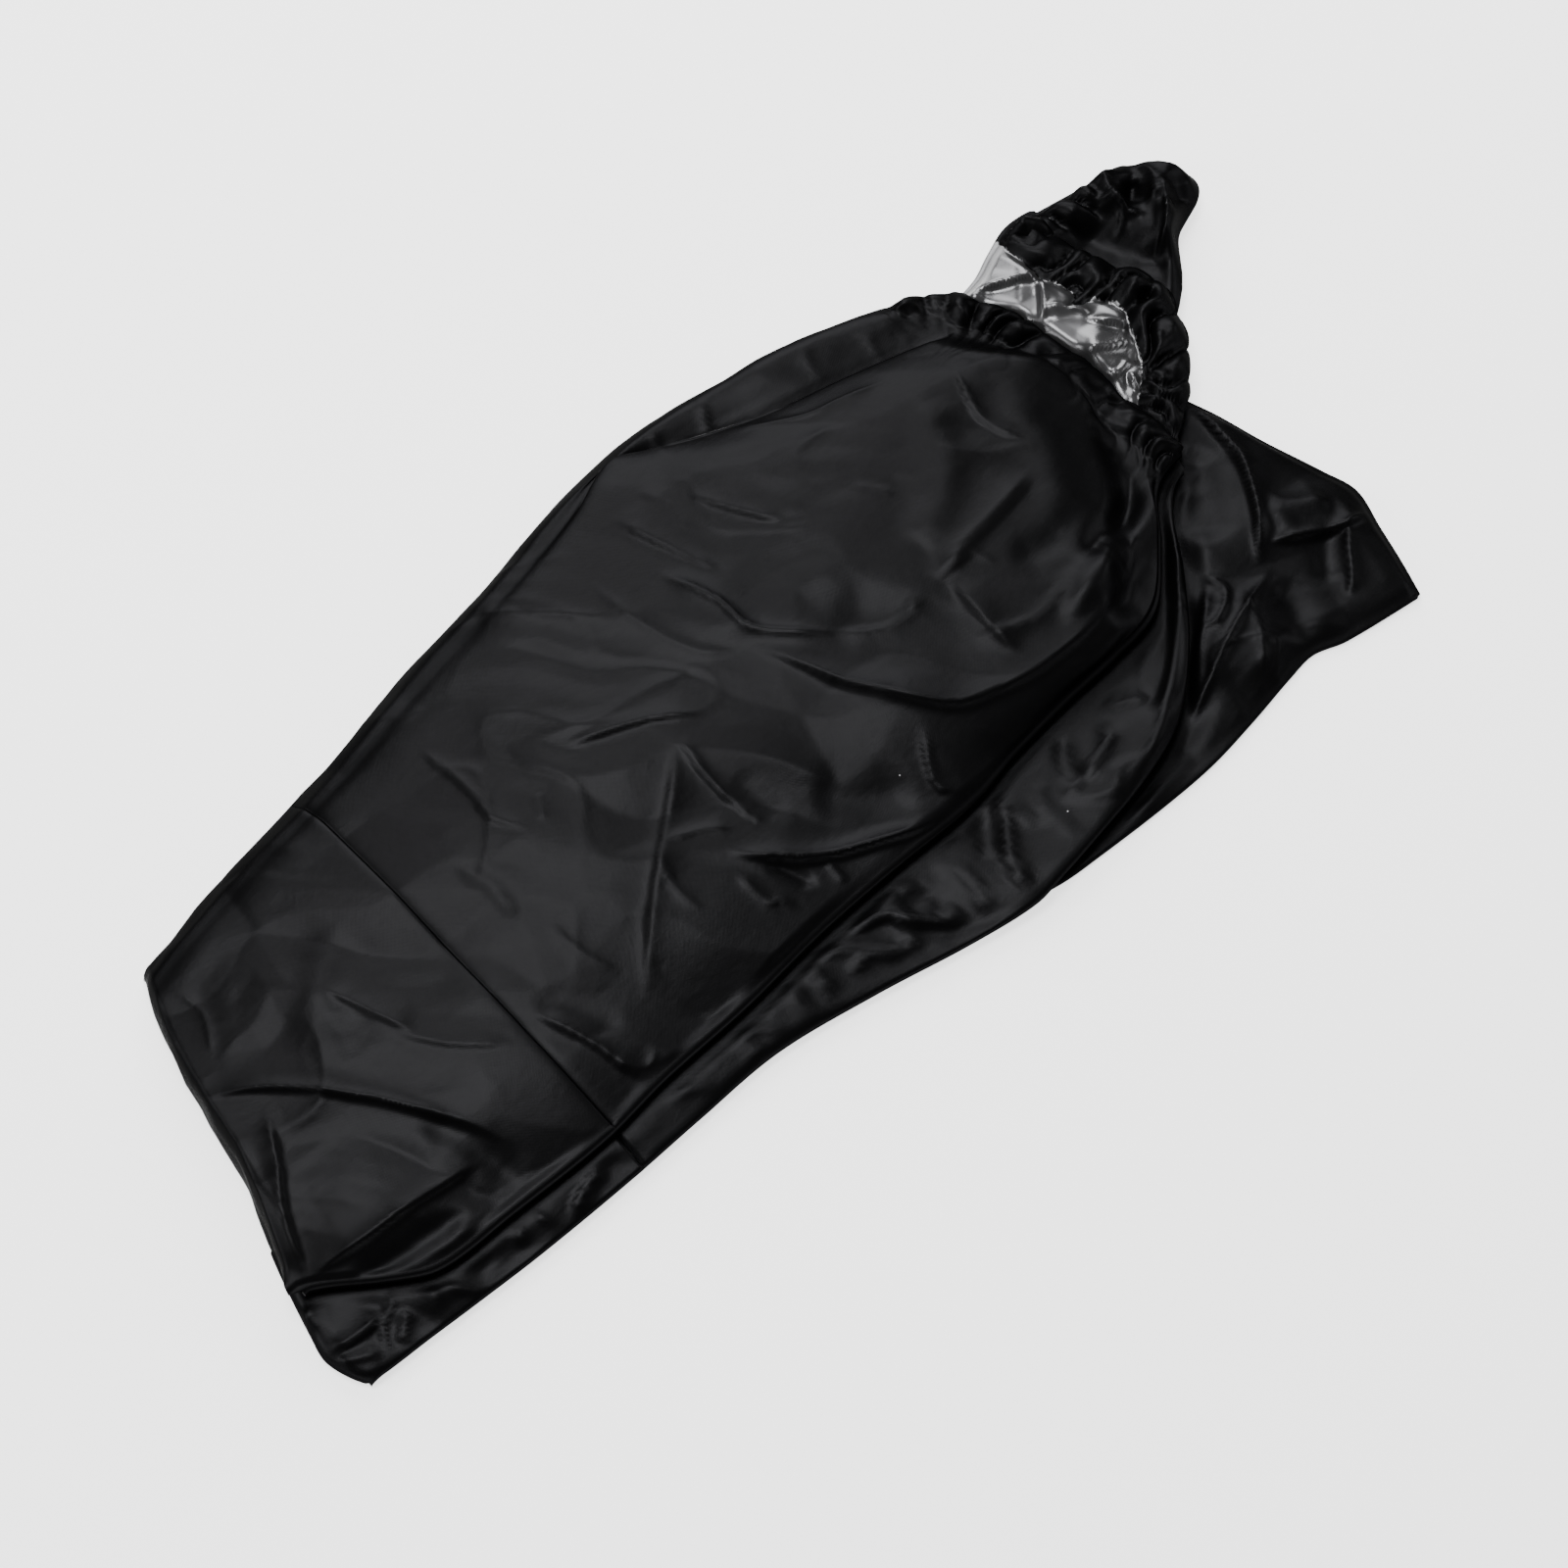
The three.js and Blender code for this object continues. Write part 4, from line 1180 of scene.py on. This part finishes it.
@dataclass
class TopPanel:
    """Round top panel's cloth: the closed end of the bundle, from the seam down to the floor."""

    bundle: Bundle
    columns: tuple[int, ...] = TOP_COLUMNS
    lip_columns: int = LIP_COLUMNS
    rows: int = 92
    wall_rows: int = 16
    wall_depth: float = 9.0
    handling: Handling = Handling(seed=11)
    creases: tuple[Crease, ...] = PANEL_CREASES

    def points(self) -> tuple[np.ndarray, int]:
        """Lays the grid's points in millimetres, and gives how many columns are on top."""
        b = self.bundle
        top = spread(self.columns)
        lip = np.arange(1, self.lip_columns + 1) / self.lip_columns
        shares = np.concatenate([top, lip])
        on_top = np.arange(len(shares)) < len(top)
        column_y = b.top_section(np.where(on_top, shares, 1.0), np.full(len(shares), -480.0))[0]
        foot = b.closed_foot(column_y)
        crest = foot + np.where(on_top, self.wall_depth, 13)
        seam = np.where(on_top, mix(SEAM_AT_ROLL, SEAM_AT_LIP, shares), SEAM_AT_LIP) + SEAM_OVERLAP
        near_seam = np.array(NEAR_SEAM[::-1])[:, None]
        flat = np.linspace(1, 0, self.rows)[:, None]
        wall = np.linspace(1, 0, self.wall_rows, endpoint=False)[:, None]
        x = np.concatenate([
            np.broadcast_to(crest[None], (self.wall_rows, len(shares))),
            mix(seam[None] - WIDE_ROWS_START, crest[None], flat),
            seam[None] - near_seam,
        ])
        fall = np.concatenate([wall, np.zeros_like(flat), np.zeros_like(near_seam)])
        t = np.broadcast_to(shares, x.shape)
        y_top, z_top = b.top_section(np.where(on_top, t, 1.0), x)
        turn = np.where(on_top, 0.0, t)
        y_lip, z_lip = b.fold(b.at["lip_y"](x), b.at["lip_z"](x), b.lip_radius(x), turn, 1)
        y, z = np.where(on_top, y_top, y_lip), np.where(on_top, z_top, z_lip)
        angle = fall * math.pi / 2
        low = mix(0.0, z - 1, ease(column_y, -76, -98))
        z = np.where(on_top, mix(low, z, np.cos(angle)), z)
        dents = 1.3 * (1 + facets(y / 23, z / 14, 5)) * np.sin(angle)
        x = x - np.where(on_top, self.wall_depth * np.sin(angle) - dents, 4 * fall)
        return np.stack([x, y, z], axis=2), len(top)

    def build(self, finishes: list[bpy.types.Material]) -> bpy.types.Object:
        """Makes the piece."""
        points, top_count = self.points()
        grid = ClothGrid("top_panel_crown", points)
        x, y, z = np.moveaxis(points, 2, 0)
        height = total_relief(self.creases, x, y) + self.handling.relief(x, y)
        seam = -SEAM_DEPTH * np.exp(-np.abs(x - x[-1:]) / SEAM_WIDTH)
        seam[-1] -= 0.4
        on_top = np.arange(x.shape[1]) < top_count
        before_lip = ease(top_count - 1 - np.arange(x.shape[1]), 0, LIP_FADE)
        grid.raise_by((height * before_lip + seam) * on_top * ease(z, 3, 18))
        return grid.build(finishes)


@dataclass
class PanelBand:
    """Band of the top panel's cloth that shows below the lip at the closed end."""

    bundle: Bundle
    band_columns: int = 44
    fold_columns: int = 8
    low_columns: int = 10
    rows: int = 90
    wall_rows: int = 10
    handling: Handling = Handling(seed=61, facet_height=2.4, facet_size=30, crease_height=3.0, crease_size=24)
    creases: tuple[Crease, ...] = (
        Crease(((-295, -158), (-320, -165), (-334, -174)), 4.4, 6, Profile.STEP),
        Crease(((-352, -146), (-362, -156), (-371, -166)), 4.0, 5),
        Crease(((-449, -148), (-460, -158), (-468, -164)), 4.0, 6),
        Crease(((-505, -138), (-480, -143), (-462, -140)), 5.0, 6, Profile.STEP),
        Crease(((-505, -146), (-492, -153), (-478, -160)), 4.0, 6),
        Crease(((-420, -140), (-400, -150), (-388, -164)), -3.5, 8, Profile.SOFT),
    )

    def build(self, finishes: list[bpy.types.Material]) -> bpy.types.Object:
        """Makes the piece."""
        b = self.bundle
        band = mix(0.55, 1.0, np.arange(self.band_columns + 1) / self.band_columns)
        turn = np.arange(1, self.fold_columns + 1) / self.fold_columns
        low = 0.2 * np.arange(1, self.low_columns + 1) / self.low_columns
        ends = np.cumsum([len(band), len(turn), len(low)])
        column_y = np.concatenate([
            mix(
                b.inner_side(-480.0) - b.inner_radius(-480.0),
                b.at["band_y"](-480.0) + b.band_radius(-480.0), band,
            ),
            np.full(len(turn), b.at["band_y"](-480.0)),
            mix(b.at["band_y"](-480.0), b.inner_side(-480.0), low),
        ])
        corner = (np.arange(len(column_y)) < ends[1]) & (column_y < -60)
        crest = b.closed_foot(column_y) + np.where(corner, 9, 15)
        flat = np.linspace(1, 0, self.rows)[:, None]
        wall = np.linspace(1, 0, self.wall_rows, endpoint=False)[:, None]
        x = np.concatenate([
            np.broadcast_to(crest[None], (self.wall_rows, len(column_y))),
            mix(SEAM_AT_LIP - HALF_SEAM, crest[None], flat),
        ])
        fall = np.concatenate([wall, np.zeros_like(flat)])
        y, z = np.empty_like(x), np.empty_like(x)
        part = slice(0, ends[0])
        px = x[:, part]
        y[:, part] = mix(b.inner_side(px) - b.inner_radius(px), b.at["band_y"](px) + b.band_radius(px), band)
        rise = ease(y[:, part], b.at["lip_y"](px) - 3, b.at["band_y"](px) + b.band_radius(px))
        z[:, part] = mix(b.layer(4, px), b.at["band_z"](px), rise)
        part = slice(ends[0], ends[1])
        px = x[:, part]
        shares = np.broadcast_to(turn, px.shape)
        y[:, part], z[:, part] = b.fold(b.at["band_y"](px), b.at["band_z"](px), b.band_radius(px), shares, 1)
        part = slice(ends[1], ends[2])
        px = x[:, part]
        start = b.at["band_y"](px) + b.band_radius(px)
        y[:, part] = mix(start, b.inner_side(px) - 4 - b.inner_radius(px), low)
        z[:, part] = mix(b.at["band_low_z"](px), b.layer(3, px), ease(y[:, part] - start, 0, 34))
        angle = fall * math.pi / 2
        z = np.where(corner, mix(1 + 0.3 * z, z, np.cos(angle)), z)
        x = x - np.where(corner, 9 * np.sin(angle), 4 * fall)
        grid = ClothGrid("top_panel_band", np.stack([x, y, z], axis=2))
        height = total_relief(self.creases, x, y) + self.handling.relief(x, y)
        outside = 1 - ease(y, b.at["lip_y"](x) - 12, b.at["lip_y"](x) - 4)
        inward = ease(y, b.at["band_y"](x), b.at["band_y"](x) + 8)
        shown = outside * inward * (1 - ease(x, -292, -278)) * (np.arange(x.shape[1]) < ends[0])
        grid.raise_by(np.maximum(height, DEEPEST) * shown)
        return grid.build(finishes)


@dataclass
class Studio:
    """Pale floor, soft light and the camera at the photo's angle."""

    azimuth: float = -42.0
    elevation: float = 66.0
    distance: float = 2.4933
    lens: float = 85.0
    aim: tuple[float, float, float] = (-0.02668, -0.03717, 0.0)
    floor_size: float = 9.0

    def build(self) -> None:
        """Makes the floor, the lights and the camera."""
        bm = bmesh.new()
        bmesh.ops.create_grid(bm, x_segments=1, y_segments=1, size=self.floor_size / 2)
        mesh = bpy.data.meshes.new("floor")
        bm.to_mesh(mesh)
        bm.free()
        mesh.materials.append(PaleFloor().make())
        floor = bpy.data.objects.new("floor", mesh)
        bpy.context.scene.collection.objects.link(floor)
        self.light("back_key", (1.3, 1.9, 1.35), 92, 2.0)
        self.light("overhead", (-0.2, 0.45, 2.9), 73, 1.2)
        self.light("left", (-2.2, 0.9, 1.2), 30, 1.0)
        self.light("right", (2.2, -1.0, 1.1), 12, 1.0)
        world = bpy.data.worlds.new("studio")
        world.use_nodes = True
        world.node_tree.nodes["Background"].inputs["Color"].default_value = (1, 1, 1, 1)
        world.node_tree.nodes["Background"].inputs["Strength"].default_value = 0.14
        bpy.context.scene.world = world
        self.camera()

    def light(self, name: str, place: tuple[float, float, float], power: float, size: float) -> None:
        """Adds a soft square light that faces the cover.

        Args:
            name: name of the light.
            place: where it stands, in metres.
            power: its power in watts.
            size: length of its side in metres.
        """
        data = bpy.data.lights.new(name, "AREA")
        data.energy = power
        data.size = size
        lamp = bpy.data.objects.new(name, data)
        lamp.location = place
        lamp.rotation_euler = (Vector((0, 0, 0)) - Vector(place)).to_track_quat("-Z", "Y").to_euler()
        bpy.context.scene.collection.objects.link(lamp)

    def camera(self) -> None:
        """Adds the camera at the photo's angle."""
        a, e = math.radians(self.azimuth), math.radians(self.elevation)
        back = Vector((math.sin(a) * math.cos(e), -math.cos(a) * math.cos(e), math.sin(e)))
        data = bpy.data.cameras.new("camera")
        data.lens = self.lens
        data.sensor_width = 36
        camera = bpy.data.objects.new("camera", data)
        camera.location = Vector(self.aim) + back * self.distance
        camera.rotation_euler = (-back).to_track_quat("-Z", "Y").to_euler()
        bpy.context.scene.collection.objects.link(camera)
        bpy.context.scene.camera = camera


def main() -> None:
    """Builds the cover's pieces in order and notes the sizes."""
    logging.basicConfig(level=logging.INFO)
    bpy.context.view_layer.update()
    bundle = Bundle()
    black, silver = BlackCloth().make(), SilverCoating().make()
    finishes = [black, silver, black, black]
    for part in (TopPanel(bundle), PanelBand(bundle)):
        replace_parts(part.build(finishes), "top_panel")
    for part in (SkirtTop(bundle), SkirtBack(bundle), SkirtFan(bundle)):
        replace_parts(part.build(finishes), "skirt")
    Studio().build()


if __name__ == "__main__":
    main()
